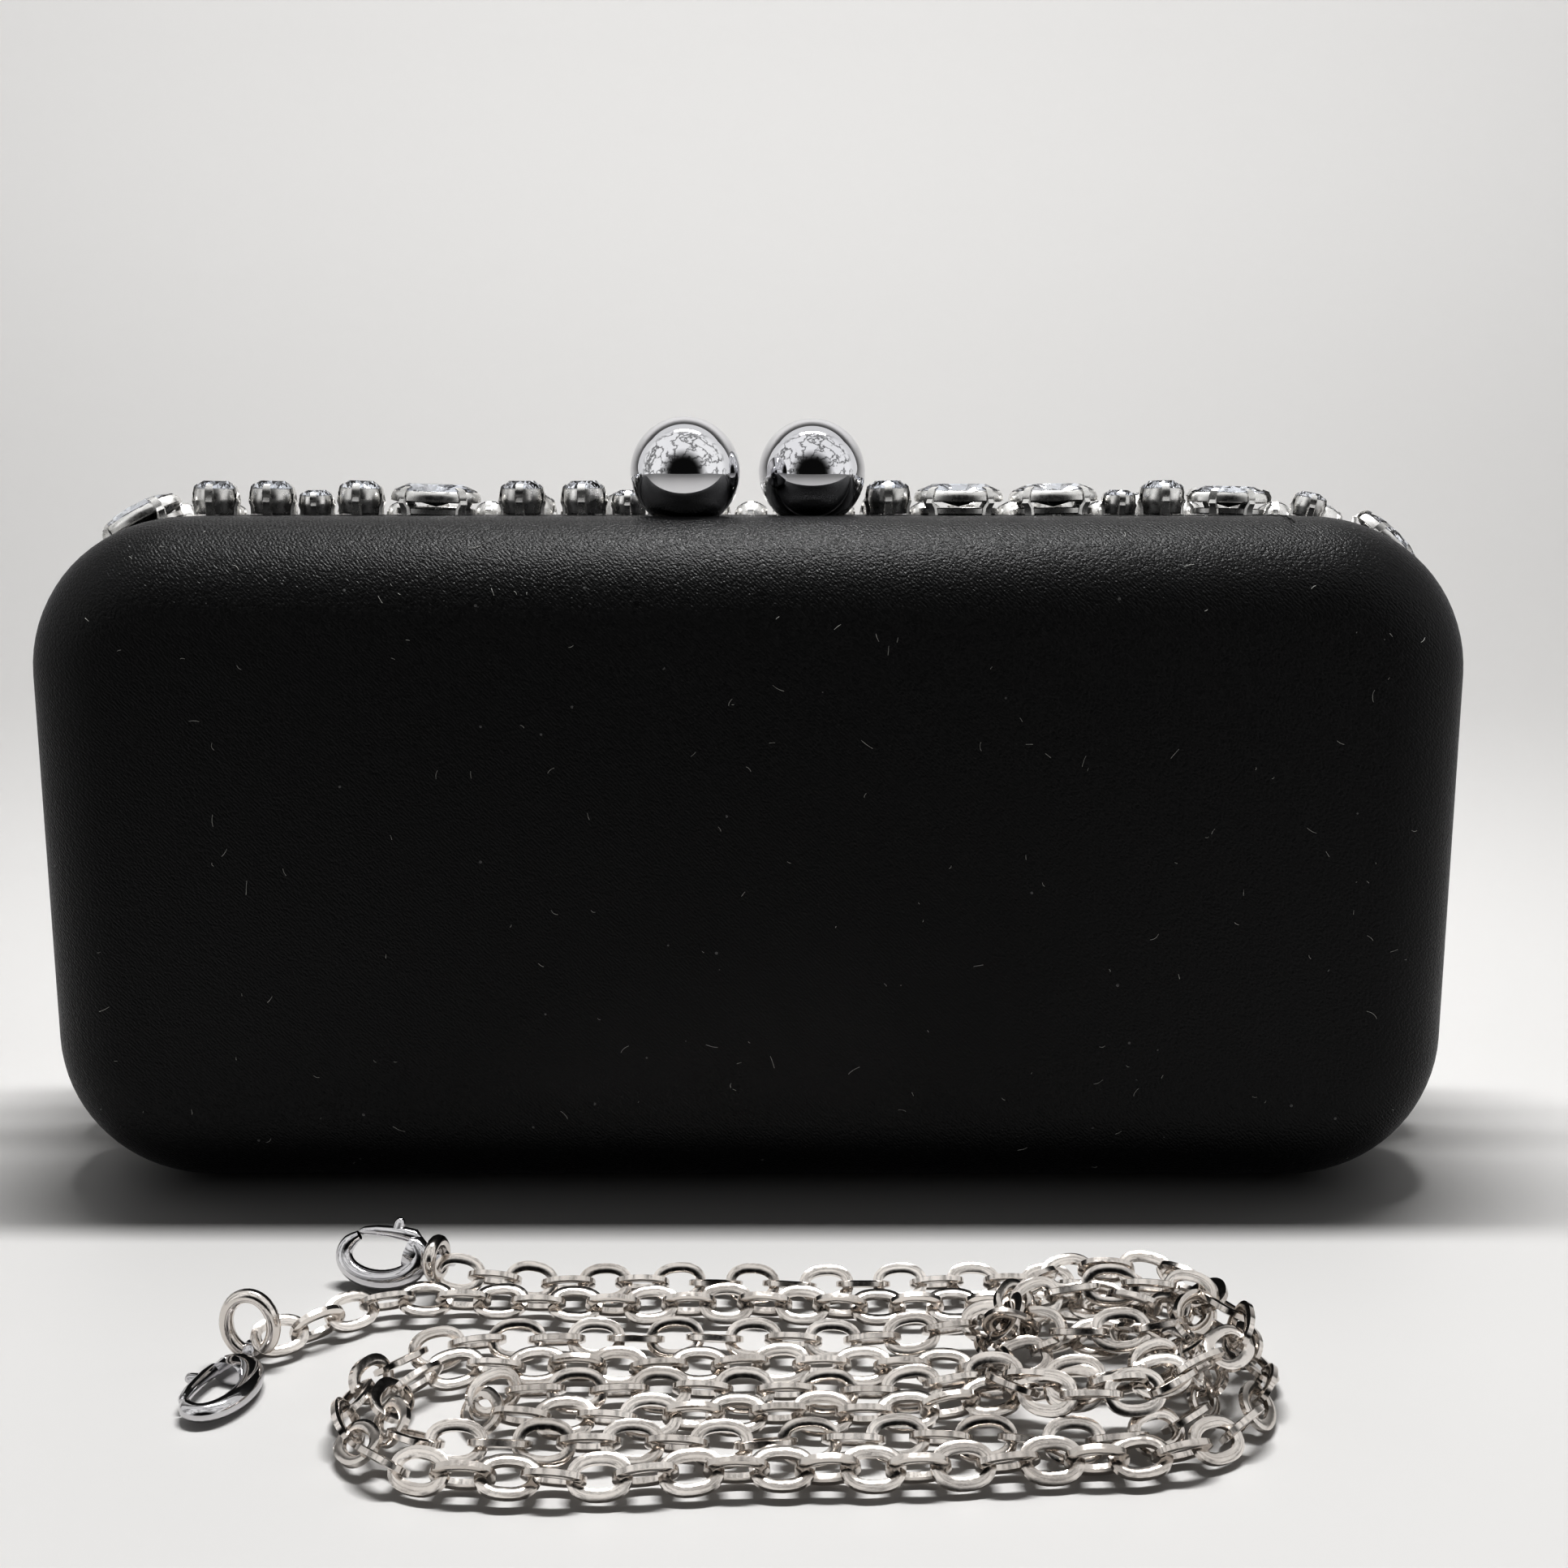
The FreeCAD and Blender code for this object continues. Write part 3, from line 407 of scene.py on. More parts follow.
# links along a curve: every second one rolled a quarter turn
def linkTree():
    tree, given, result = newTree("chain links", [
        ("Link", "NodeSocketObject"), ("Pitch", "NodeSocketFloat"), ("Roll", "NodeSocketFloat"),
        ("Looseness", "NodeSocketFloat"), ("Seed", "NodeSocketInt"), ("Material", "NodeSocketMaterial")])
    spaced = addNode(tree, "GeometryNodeResampleCurve", {"mode": "LENGTH"},
                     {"Curve": given.outputs["Geometry"], "Length": given.outputs["Pitch"]})
    tangent = addNode(tree, "GeometryNodeInputTangent")
    alongCurve = addNode(tree, "FunctionNodeAlignRotationToVector", {"axis": "X"},
                         {"Vector": tangent.outputs[0]})
    upright = addNode(tree, "FunctionNodeAlignRotationToVector", {"axis": "Z", "pivot_axis": "X"},
                      {"Rotation": alongCurve.outputs[0], "Vector": (0, 0, 1)})
    index = addNode(tree, "GeometryNodeInputIndex")
    parity = addNode(tree, "ShaderNodeMath", {"operation": "MODULO"}, {0: index.outputs[0], 1: 2.0})
    turn = addNode(tree, "ShaderNodeMath", {"operation": "MULTIPLY_ADD"},
                   {0: parity.outputs[0], 1: math.pi / 2, 2: given.outputs["Roll"]})
    wobble = addNode(tree, "FunctionNodeRandomValue", {"data_type": "FLOAT_VECTOR"},
                     {"Min": (-1, -1, -1), "Max": (1, 1, 1), "Seed": given.outputs["Seed"]})
    loose = addNode(tree, "ShaderNodeVectorMath", {"operation": "SCALE"},
                    {0: wobble.outputs[0], "Scale": given.outputs["Looseness"]})
    roll = addNode(tree, "ShaderNodeCombineXYZ", inputs={"X": turn.outputs[0]})
    sway = addNode(tree, "ShaderNodeVectorMath", {"operation": "MULTIPLY_ADD"},
                   {0: loose.outputs[0], 1: (1.0, 0.35, 0.35), 2: roll.outputs[0]})
    swayTurn = addNode(tree, "FunctionNodeEulerToRotation", inputs={0: sway.outputs[0]})
    rolled = addNode(tree, "FunctionNodeRotateRotation", {"rotation_space": "LOCAL"},
                     {"Rotation": upright.outputs[0], "Rotate By": swayTurn.outputs[0]})
    link = addNode(tree, "GeometryNodeObjectInfo", inputs={"Object": given.outputs["Link"]})
    copies = addNode(tree, "GeometryNodeInstanceOnPoints", inputs={
        "Points": spaced.outputs[0], "Instance": link.outputs["Geometry"], "Rotation": rolled.outputs[0]})
    solid = addNode(tree, "GeometryNodeRealizeInstances", inputs={"Geometry": copies.outputs[0]})
    coated = addNode(tree, "GeometryNodeSetMaterial", inputs={
        "Geometry": solid.outputs[0], "Material": given.outputs["Material"]})
    tree.links.new(coated.outputs[0], result.inputs[0])
    return tree


def makeChain():
    curve = makeRouteCurve(chainRoute())
    line = routeLine(curve)
    length = sum((b - a).length for a, b in zip(line, line[1:]))
    linkMesh = ovalWire("link", chain["linkLength"] * mm, chain["linkWidth"] * mm,
                        chain["wireWidth"] * mm, chain["wireThick"] * mm)
    linkMesh.polygons.foreach_set("use_smooth", [True] * len(linkMesh.polygons))
    linkMesh.set_sharp_from_angle(angle=math.radians(50))
    link = meshObject("link", linkMesh)
    attach(curve, linkTree(), {
        "Link": link, "Pitch": chain["pitch"] * mm, "Roll": math.radians(chain["roll"]),
        "Looseness": chain["looseness"], "Seed": 4, "Material": chainMetal})
    strap = finishedMesh(curve, "chainStrap")
    bpy.data.objects.remove(link)
    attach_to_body(strap, "chain_strap")
    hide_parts("chain_hank", "chain_tail")
    print("stage: chain", round(length * 1000), "mm,", len(strap.data.polygons), "faces")
    return strap, line, length


strap, strapLine, strapLength = makeChain()


# lobster clasps: cast hook with an eye, sprung lever, and the jump ring, at the places of the frame

clasps = {
    "a": {"place": (-64.6, -90.0, 1.6), "yaw": 82.0, "roll": 0.0, "ring": (4.6, 3.9)},
    "b": {"place": (-57.2, -51.6, 4.6), "yaw": -9.0, "roll": 62.0, "ring": (3.6, 3.0)},
}
claspShape = {"ringWire": 1.8, "ringAlong": 15.6, "eyeAlong": 15.75, "eyeRadius": 1.25, "eyeThick": 0.42,
              "eyeWide": 0.85, "middle": 6.6, "reach": (5.6, 3.35)}


def claspFrame(clasp):
    yaw = Matrix.Rotation(math.radians(clasp["yaw"]), 4, "Z")
    roll = Matrix.Rotation(math.radians(clasp["roll"]), 4, "X")
    return Matrix.Translation(placed(*clasp["place"])) @ yaw @ roll


# skin over elliptical sections: each station is a point, its half width and half height
def tubeAlong(build, stations, corners=16):
    rings = []
    last = len(stations) - 1
    for number, (point, wide, tall) in enumerate(stations):
        before = stations[max(number - 1, 0)][0]
        after = stations[min(number + 1, last)][0]
        ahead = (Vector(after) - Vector(before)).normalized()
        side = ahead.cross(Vector((0, 0, 1)))
        side = side.normalized() if side.length > 1e-6 else Vector((1, 0, 0))
        up = side.cross(ahead)
        ring = []
        for corner in range(corners):
            angle = 2 * math.pi * corner / corners
            reach = side * wide * math.cos(angle) + up * tall * math.sin(angle)
            ring.append(build.verts.new(Vector(point) + reach))
        rings.append(ring)
    bridgeRings(build, rings)
    build.faces.new(rings[0])
    build.faces.new(list(reversed(rings[-1])))


def fromBuild(build, name, transform):
    mesh = builtMesh(build, name)
    mesh.transform(Matrix.Scale(mm, 4))
    mesh.transform(transform)
    piece = meshObject(name, mesh)
    shadeSmooth(piece, 60)
    return piece


# thick root by the eye, thinning round the far end to the tip of the hook
def makeHook(letter, transform):
    build = bmesh.new()
    stations = []
    reachX, reachY = claspShape["reach"]
    for step in range(27):
        share = step / 26
        angle = math.radians(28.0 - 256.0 * share)
        wide = 1.75 - 0.75 * share if share > 0.12 else 1.0 + 6.2 * share
        tall = 1.62 - 0.62 * share
        if share > 0.92:
            wide *= 1.0 - (share - 0.92) * 4.0
            tall *= 1.0 - (share - 0.92) * 4.0
        centre = (claspShape["middle"] + reachX * math.cos(angle), reachY * math.sin(angle), 0)
        stations.append((centre, wide, tall))
    tubeAlong(build, stations)
    neck = [((10.2, 0.9, 0), 2.2, 1.5), ((11.4, 0.6, 0), 2.4, 1.62), ((12.6, 0.25, 0), 1.7, 1.45),
            ((13.7, 0.0, 0), 1.0, 1.05), ((14.6, 0.0, 0), 0.75, 0.85)]
    tubeAlong(build, neck)
    rings = []
    for step in range(24):
        angle = 2 * math.pi * step / 24
        out = Vector((math.cos(angle), 0, math.sin(angle)))
        centre = Vector((claspShape["eyeAlong"], 0, 0)) + out * claspShape["eyeRadius"]
        ring = []
        for corner in range(10):
            lean = 2 * math.pi * corner / 10
            wide = Vector((0, claspShape["eyeWide"] * math.sin(lean), 0))
            ring.append(build.verts.new(centre + out * claspShape["eyeThick"] * math.cos(lean) + wide))
        rings.append(ring)
    bridgeRings(build, rings, True)
    hook = fromBuild(build, "clasp" + letter.upper() + "Hook", transform)
    paint(hook, claspMetal)
    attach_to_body(hook, "chain_strap")
    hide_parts(f"clasp_{letter}_hook", f"clasp_{letter}_pin")
    return hook


# sprung lever that closes the hook, with its thumb nub
def makeLever(letter, transform):
    build = bmesh.new()
    bar = [((2.95, 3.0, 0), 0.35, 0.5), ((3.6, 3.15, 0), 0.62, 0.75), ((5.4, 3.3, 0), 0.75, 0.85),
           ((7.4, 3.25, 0), 0.8, 0.85), ((9.4, 3.1, 0), 0.95, 0.85), ((11.0, 2.8, 0), 1.0, 0.8),
           ((11.8, 2.5, 0), 0.5, 0.5)]
    tubeAlong(build, bar, corners=12)
    nub = [((8.4, 3.6, 0), 0.85, 0.75), ((8.5, 4.5, 0), 0.8, 0.7), ((8.7, 5.0, 0), 0.62, 0.6),
           ((8.8, 5.2, 0), 0.3, 0.3)]
    tubeAlong(build, nub, corners=12)
    lever = fromBuild(build, "clasp" + letter.upper() + "Lever", transform)
    paint(lever, claspMetal)
    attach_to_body(lever, f"clasp_{letter}_lever")
    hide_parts(f"clasp_{letter}_lever")
    return lever


# oval ring of round wire through the clasp's eye
def makeJumpRing(letter, transform, clasp):
    build = bmesh.new()
    across, tall = clasp["ring"]
    half = claspShape["ringWire"] / 2
    rings = []
    for step in range(40):
        angle = 2 * math.pi * step / 40
        centre = Vector((claspShape["ringAlong"], (across - half) * math.cos(angle) * 0.86,
                         tall + tall * math.sin(angle)))
        out = Vector((0, math.cos(angle), math.sin(angle)))
        rings.append([build.verts.new(centre + out * half * math.cos(a) + Vector((half * math.sin(a), 0, 0)))
                      for a in (2 * math.pi * k / 12 for k in range(12))])
    bridgeRings(build, rings, True)
    ring = fromBuild(build, "jumpRing" + letter.upper(), transform)
    paint(ring, chainMetal)
    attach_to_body(ring, "chain_strap")
    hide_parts(f"jump_ring_{letter}")
    return ring


for letter, clasp in clasps.items():
    claspPlace = claspFrame(clasp)
    makeHook(letter, claspPlace)
    makeLever(letter, claspPlace)
    makeJumpRing(letter, claspPlace, clasp)
print("stage: clasps ready")


# satin over thin foam, on both trays

tray = {"corner": 24.0, "faceRadius": 15.0, "mouthRadius": 4.0, "depth": 24.5, "gap": 0.15, "skin": 1.0,
        "cornerSteps": 18, "longSteps": 70, "shortSteps": 26}
hinge = {"place": 60.0, "half": 12.6, "depth": 1.7, "top": 7.2}
ball = {"place": 10.0, "depth": 4.0, "dimple": 8.95, "radius": 8.6}


# ribs of the twill in millimetres, tone of the threads, gloss, colour of caught lint
satinLook = {"rib": 0.45, "dark": "#020203", "pale": "#0E0E10", "rough": (0.29, 0.46), "lint": "#6E6E6E"}


def satinMaterial():
    # long floats give a broad soft sheen, the twill steps fine diagonal ribs
    material, tree, shader = newMaterial("black woven duchesse satin")
    place = addNode(tree, "ShaderNodeTexCoord").outputs["Object"]
    ribs = addNode(tree, "ShaderNodeMapping", inputs={
        "Vector": place, "Rotation": (0, math.radians(45.0), 0)})
    wave = addNode(tree, "ShaderNodeTexWave", {"bands_direction": "X"}, {
        "Vector": ribs.outputs[0], "Scale": 2 * math.pi / (20 * satinLook["rib"] * mm),
        "Distortion": 1.6, "Detail": 2.0, "Detail Scale": 3.0})
    soft = addNode(tree, "ShaderNodeMath", {"operation": "MULTIPLY"}, {0: wave.outputs["Fac"], 1: 0.3})
    long = addNode(tree, "ShaderNodeMapping", inputs={"Vector": ribs.outputs[0], "Scale": (1.0, 1.0, 0.7)})
    thread = addNode(tree, "ShaderNodeTexNoise", inputs={
        "Vector": long.outputs[0], "Scale": 2900.0, "Detail": 2.0})
    relief = addNode(tree, "ShaderNodeMath", {"operation": "MULTIPLY_ADD"},
                     {0: thread.outputs["Fac"], 1: 2.6, 2: soft.outputs[0]})
    cloud = addNode(tree, "ShaderNodeTexNoise", inputs={"Vector": place, "Scale": 24.0, "Detail": 3.0})
    mixed = addNode(tree, "ShaderNodeMath", {"operation": "MULTIPLY_ADD"},
                    {0: relief.outputs[0], 1: 0.5, 2: cloud.outputs["Fac"]})
    tone = colourRamp(tree, mixed.outputs[0], [(1.05, linearColour(satinLook["dark"])),
                                               (1.4, linearColour(satinLook["pale"]))])
    fluff = addNode(tree, "ShaderNodeTexVoronoi", {"distance": "EUCLIDEAN"},
                    {"Vector": place, "Scale": 210.0, "Randomness": 1.0})
    speck = addNode(tree, "ShaderNodeMath", {"operation": "LESS_THAN"},
                    {0: fluff.outputs["Distance"], 1: 0.05})
    few = addNode(tree, "ShaderNodeTexNoise", inputs={"Vector": place, "Scale": 120.0})
    some = addNode(tree, "ShaderNodeMath", {"operation": "GREATER_THAN"}, {0: few.outputs["Fac"], 1: 0.53})
    dust = addNode(tree, "ShaderNodeMath", {"operation": "MULTIPLY"},
                   {0: speck.outputs[0], 1: some.outputs[0]})
    dusty = addNode(tree, "ShaderNodeMix", {"data_type": "RGBA"}, {
        "Factor": dust.outputs[0], "A": tone.outputs["Color"], "B": linearColour(satinLook["lint"])})
    tree.links.new(dusty.outputs["Result"], shader.inputs["Base Color"])
    rough = addNode(tree, "ShaderNodeMapRange", inputs={
        "Value": relief.outputs[0], "From Min": 1.0, "From Max": 1.9,
        "To Min": satinLook["rough"][0], "To Max": satinLook["rough"][1]})
    tree.links.new(rough.outputs["Result"], shader.inputs["Roughness"])
    shader.inputs["Specular IOR Level"].default_value = 0.26
    shader.inputs["Sheen Weight"].default_value = 0.16
    shader.inputs["Sheen Roughness"].default_value = 0.3
    shader.inputs["Sheen Tint"].default_value = linearColour("#9A9AA2")
    bump = addNode(tree, "ShaderNodeBump", inputs={
        "Height": relief.outputs[0], "Strength": 0.9, "Distance": 0.09 * mm})
    tree.links.new(bump.outputs["Normal"], shader.inputs["Normal"])
    return material


satin = satinMaterial()


# points of a rounded rectangle inset from the bag's outline, the same number for every inset
def outlineLoop(inset, radius):
    halfWidth = bagHalfWidth / mm - inset
    halfHeight = bagHeight / mm / 2 - inset
    radius = max(min(radius, halfHeight), 0.0)
    middle = bagHeight / mm / 2
    centres = [(1, 1), (-1, 1), (-1, -1), (1, -1)]
    points = []
    for quarter, (sideX, sideZ) in enumerate(centres):
        centreX = sideX * (halfWidth - radius)
        centreZ = middle + sideZ * (halfHeight - radius)
        for step in range(tray["cornerSteps"] + 1):
            angle = math.radians(90.0 * quarter + 90.0 * step / tray["cornerSteps"])
            points.append((centreX + radius * math.cos(angle), centreZ + radius * math.sin(angle)))
        nextX, nextZ = centres[(quarter + 1) % 4]
        endX = nextX * (halfWidth - radius) + radius * math.cos(math.radians(90.0 * (quarter + 1)))
        endZ = middle + nextZ * (halfHeight - radius) + radius * math.sin(math.radians(90.0 * (quarter + 1)))
        startX, startZ = points[-1]
        steps = tray["longSteps"] if quarter % 2 == 0 else tray["shortSteps"]
        for step in range(1, steps):
            share = step / steps
            points.append((startX + (endX - startX) * share, startZ + (endZ - startZ) * share))
    return points


# inset and depth of the skin, from its lip at the mouth, round the side, to the middle of the face
def coverProfile():
    mouth, face, depth, gap = tray["mouthRadius"], tray["faceRadius"], tray["depth"], tray["gap"]
    stations = [(3.66, gap + 0.9), (3.64, gap + 0.3)]
    for step in range(1, 9):
        angle = math.radians(84.0 - 84.0 * step / 8)
        stations.append((mouth * (1 - math.cos(angle)), gap + mouth - mouth * math.sin(angle)))
    stations = stations[:2] + sorted(stations[2:], key=lambda s: s[1])
    stations.append((0.0, (gap + mouth + depth - face) / 2))
    for step in range(13):
        angle = math.radians(90.0 * step / 12)
        stations.append((face * (1 - math.cos(angle)), depth - face + face * math.sin(angle)))
    for inset in (17.5, 20.5, 24.0, 28.0, 32.5, 37.0, 41.0, 45.0, 48.5, 51.2, 53.0):
        stations.append((inset, depth))
    return stations


# soft swelling of the padded face, none at its edges
def crownAt(x, z, amount):
    u = min(1.0, abs(x) / 97.0)
    w = min(1.0, abs(z - bagHeight / mm / 2) / 39.0)
    return amount * (1 - u ** 4) * (1 - w ** 3) * (1 - 0.25 * w ** 2)


# skin through the stations; side is -1 for the back tray and 1 for the front one
def loftTray(name, stations, side, crown, corner):
    build = bmesh.new()
    rings = []
    for inset, depth in stations:
        ring = []
        for x, z in outlineLoop(inset, corner - inset):
            deep = depth + (crownAt(x, z, crown) if depth > tray["depth"] - 6.0 else 0.0)
            ring.append(build.verts.new((x * mm, splitY + side * deep * mm, z * mm)))
        rings.append(ring)
    bridgeRings(build, rings)
    bmesh.ops.remove_doubles(build, verts=build.verts, dist=1e-6)
    bmesh.ops.dissolve_degenerate(build, edges=build.edges, dist=1e-7)
    mesh = builtMesh(build, name)
    piece = meshObject(name, mesh)
    if sum(polygon.normal.y * polygon.area for polygon in mesh.polygons) * side < 0:
        mesh.flip_normals()
    return piece


def boxCutter(name, low, high):
    build = bmesh.new()
    bmesh.ops.create_cube(build, size=1.0)
    for vertex in build.verts:
        vertex.co = Vector([low[k] if vertex.co[k] < 0 else high[k] for k in range(3)])
    return meshObject(name, builtMesh(build, name))


def sphereCutter(name, centre, radius):
    build = bmesh.new()
    bmesh.ops.create_uvsphere(build, u_segments=64, v_segments=48, radius=radius)
    bmesh.ops.translate(build, verts=build.verts, vec=centre)
    return meshObject(name, builtMesh(build, name))


# cuts the tools out of a piece and leaves a plain mesh
def carve(piece, name, tools):
    for tool in tools:
        modifier = piece.modifiers.new("cut", "BOOLEAN")
        modifier.operation = "DIFFERENCE"
        modifier.solver = "EXACT"
        modifier.object = tool
    done = finishedMesh(piece, name)
    for tool in tools:
        bpy.data.objects.remove(tool)
    return done


def ballCentre(side):
    low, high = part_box("left_ball" if side < 0 else "right_ball")
    return (low + high) / 2


def makeCover(side, word, crown):
    skin = loftTray(word + "CoverSkin", coverProfile(), side, crown, tray["corner"])
    wall = skin.modifiers.new("skin", "SOLIDIFY")
    wall.thickness = tray["skin"] * mm
    wall.offset = -1.0
    wall.use_even_offset = True
    tools = []
    for place in (-1, 1):
        centre = place * hinge["place"] * mm
        low = (centre - hinge["half"] * mm, splitY - hinge["depth"] * mm, -mm)
        high = (centre + hinge["half"] * mm, splitY + hinge["depth"] * mm, hinge["top"] * mm)
        tools.append(boxCutter("notch", low, high))
    centre = ballCentre(side)
    for shift in (0.0, 0.8, 1.6):
        tools.append(sphereCutter("dimple", centre + Vector((side * shift * mm, 0, 0)), ball["dimple"] * mm))
    cover = carve(skin, word + "Cover", tools)
    shadeSmooth(cover, 40)
    paint(cover, satin)
    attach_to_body(cover, word + "_half")
    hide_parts(word + "_cover")
    return cover


backCover = makeCover(-1, "back", 1.1)
makeCover(1, "front", 0.2)
print("stage: covers", len(backCover.data.polygons), "faces")


# closure balls

# hollow pressed ball, chrome plated and buffed
def makeBall(side, word):
    centre = ballCentre(side)
    build = bmesh.new()
    bmesh.ops.create_uvsphere(build, u_segments=128, v_segments=80, radius=ball["radius"] * mm)
    bmesh.ops.translate(build, verts=build.verts, vec=centre)
    piece = meshObject(word + "Ball", builtMesh(build, word + "Ball"))
    shadeSmooth(piece)
    paint(piece, ballMetal)
    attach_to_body(piece, word + "_ball")
    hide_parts(word + "_ball")


# chrome over brass, buffed: a clear mirror with a faint haze of handling
ballMetal = metalMaterial("buffed chrome plated brass", "#E4E4E6", 0.035, 60.0, 0.0, "#DCDCDF", 0.012)
makeBall(-1, "left")
makeBall(1, "right")


# crystals: cups with claws and faceted stones, on the places of the frame's settings

# length, width, height, sides of the outline, pull towards pointed ends, angles of the claws
crystals = {
    "large_round": {"size": (7.4, 7.4, 5.5), "sides": 16, "point": 0.0, "claws": (0, 90, 180, 270)},
    "small_round": {"size": (5.6, 5.6, 4.0), "sides": 16, "point": 0.0, "claws": (0, 90, 180, 270)},
    "oval": {"size": (15.4, 10.0, 5.0), "sides": 24, "point": 0.0, "claws": (48, 132, 228, 312)},
    "navette": {"size": (14.0, 6.6, 4.6), "sides": 24, "point": 0.5, "claws": (0, 62, 118, 180, 242, 298)},
}
gem = {"rise": 0.76, "clawWidth": 1.5, "clawThick": 0.5, "tilt": 0.035}


def gemPoint(kind, degrees, scale, z):
    length, width = crystals[kind]["size"][:2]
    angle = math.radians(degrees)
    across = math.sin(angle) * abs(math.sin(angle)) ** crystals[kind]["point"]
    return Vector((scale * length / 2 * math.cos(angle), scale * width / 2 * across, z))


# skin round the outline through levels given as (scale, share of the rise)
def gemBand(build, kind, levels, closed):
    rise = gem["rise"] * crystals[kind]["size"][2]
    sides = crystals[kind]["sides"]
    rings = [[build.verts.new(gemPoint(kind, 360 * k / sides, scale, share * rise)) for k in range(sides)]
             for scale, share in levels]
    bridgeRings(build, rings, closed)
    return rings


# strip of metal that stands on the base, follows the cup and folds over the stone's edge
def gemClaw(build, kind, degrees):
    rise = gem["rise"] * crystals[kind]["size"][2]
    path = [(0.85, 0.0), (0.87, 0.3), (0.96, 0.52), (0.96, 0.84), (0.90, 1.08), (0.77, 1.18)]
    ahead = gemPoint(kind, degrees + 4, 1.0, 0) - gemPoint(kind, degrees - 4, 1.0, 0)
    side = ahead.normalized() if ahead.length > 1e-6 else Vector((0, 1, 0))
    if crystals[kind]["point"] and degrees in (0, 180):
        side = Vector((0, 1, 0))
    out = side.cross(Vector((0, 0, 1)))
    small = min(1.0, crystals[kind]["size"][2] / 5.0)
    rings = []
    for number, (scale, share) in enumerate(path):
        half = gem["clawWidth"] * small / 2 * (1.15 - 0.09 * number)
        thick = gem["clawThick"] * small * (1.0 - 0.06 * number)
        middle = gemPoint(kind, degrees, scale, share * rise)
        lower = path[max(number - 1, 0)]
        upper = path[min(number + 1, len(path) - 1)]
        before = gemPoint(kind, degrees, lower[0], lower[1] * rise)
        after = gemPoint(kind, degrees, upper[0], upper[1] * rise)
        along = (after - before).normalized()
        face = along.cross(side).normalized()
        if face.dot(out) < 0 and number < 3:
            face = -face
        rings.append([build.verts.new(middle + side * half * a + face * thick * b)
                      for a, b in ((-1, -0.2), (1, -0.2), (0.7, 0.8), (-0.7, 0.8))])
    bridgeRings(build, rings)
    build.faces.new(rings[-1])
    build.faces.new(list(reversed(rings[0])))


# rounds sit in a pressed cup; long stones sit in a basket with a gap between its two rims
def settingMesh(kind):
    build = bmesh.new()
    if kind in ("large_round", "small_round"):
        rings = gemBand(build, kind, [(0.40, 0.3), (0.80, 0.02), (0.86, 0.1), (0.87, 0.32), (0.93, 0.44),
                                      (0.94, 0.62), (0.92, 0.84), (0.87, 1.02), (0.83, 0.92),
                                      (0.62, 0.5)], False)
        build.faces.new(list(reversed(rings[-1])))
    else:
        gemBand(build, kind, [(0.78, 0.0), (0.84, 0.05), (0.84, 0.26), (0.78, 0.3), (0.68, 0.28),
                              (0.68, 0.02)], True)
        gemBand(build, kind, [(0.88, 0.55), (0.95, 0.6), (0.95, 0.76), (0.92, 0.93), (0.86, 1.02),
                              (0.82, 0.9), (0.81, 0.6)], True)
    for degrees in crystals[kind]["claws"]:
        gemClaw(build, kind, degrees)
    bmesh.ops.scale(build, vec=(mm, mm, mm), verts=build.verts)
    mesh = builtMesh(build, kind + "Setting")
    mesh.polygons.foreach_set("use_smooth", [True] * len(mesh.polygons))
    mesh.set_sharp_from_angle(angle=math.radians(38))
    return mesh


# brilliant cut: table, star, kite and girdle facets, and a pavilion down to its point
def stoneMesh(kind):
    height = crystals[kind]["size"][2]
    rise = gem["rise"] * height
    build = bmesh.new()
    count = 8

    def ring(number, offset, scale, z):
        return [build.verts.new(gemPoint(kind, 360 * (k + offset) / number, scale, z)) for k in range(number)]

    table = ring(count, 0.0, 0.56, height)
    star = ring(count, 0.5, 0.735, rise + (height - rise) * 0.60)
    upper = ring(2 * count, 0.0, 0.875, rise + 0.16)
    lower = ring(2 * count, 0.0, 0.875, rise + 0.02)
    base = ring(count, 0.5, 0.46, 0.58 * rise)
    culet = build.verts.new((0, 0, 0.34 * rise))
    foil = build.faces.layers.int.new("foil")
    build.faces.new(table)
    for k in range(count):
        after = (k + 1) % count
        build.faces.new((table[k], star[k], table[after]))
        build.faces.new((table[k], star[k - 1], upper[2 * k], star[k]))
        build.faces.new((star[k], upper[2 * k], upper[2 * k + 1]))
        build.faces.new((star[k], upper[2 * k + 1], upper[(2 * k + 2) % (2 * count)]))
    for k in range(2 * count):
        after = (k + 1) % (2 * count)
        build.faces.new((upper[k], lower[k], lower[after], upper[after]))
    for k in range(count):
        faces = [build.faces.new((culet, base[k - 1], lower[2 * k], base[k])),
                 build.faces.new((base[k], lower[2 * k], lower[2 * k + 1])),
                 build.faces.new((base[k], lower[2 * k + 1], lower[(2 * k + 2) % (2 * count)]))]
        for face in faces:
            face[foil] = 1
    bmesh.ops.scale(build, vec=(mm, mm, mm), verts=build.verts)
    return builtMesh(build, kind + "Stone")


# triangles of each separate shell in a copy of a frame piece
def islandsOf(node):
    build = bmesh.new()
    build.from_mesh(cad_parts[node].data)
    bmesh.ops.remove_doubles(build, verts=build.verts, dist=1e-6)
    bmesh.ops.triangulate(build, faces=build.faces)
    seen = set()
    islands = []
    for face in build.faces:
        if face.index in seen:
            continue
        seen.add(face.index)
        queue = [face]
        triangles = []
        while queue:
            current = queue.pop()
            triangles.append([vertex.co.copy() for vertex in current.verts])
            for edge in current.edges:
                for other in edge.link_faces:
                    if other.index not in seen:
                        seen.add(other.index)
                        queue.append(other)
        islands.append(triangles)
    build.free()
    return islands


def areaOf(a, b, c):
    return (b - a).cross(c - a).length / 2


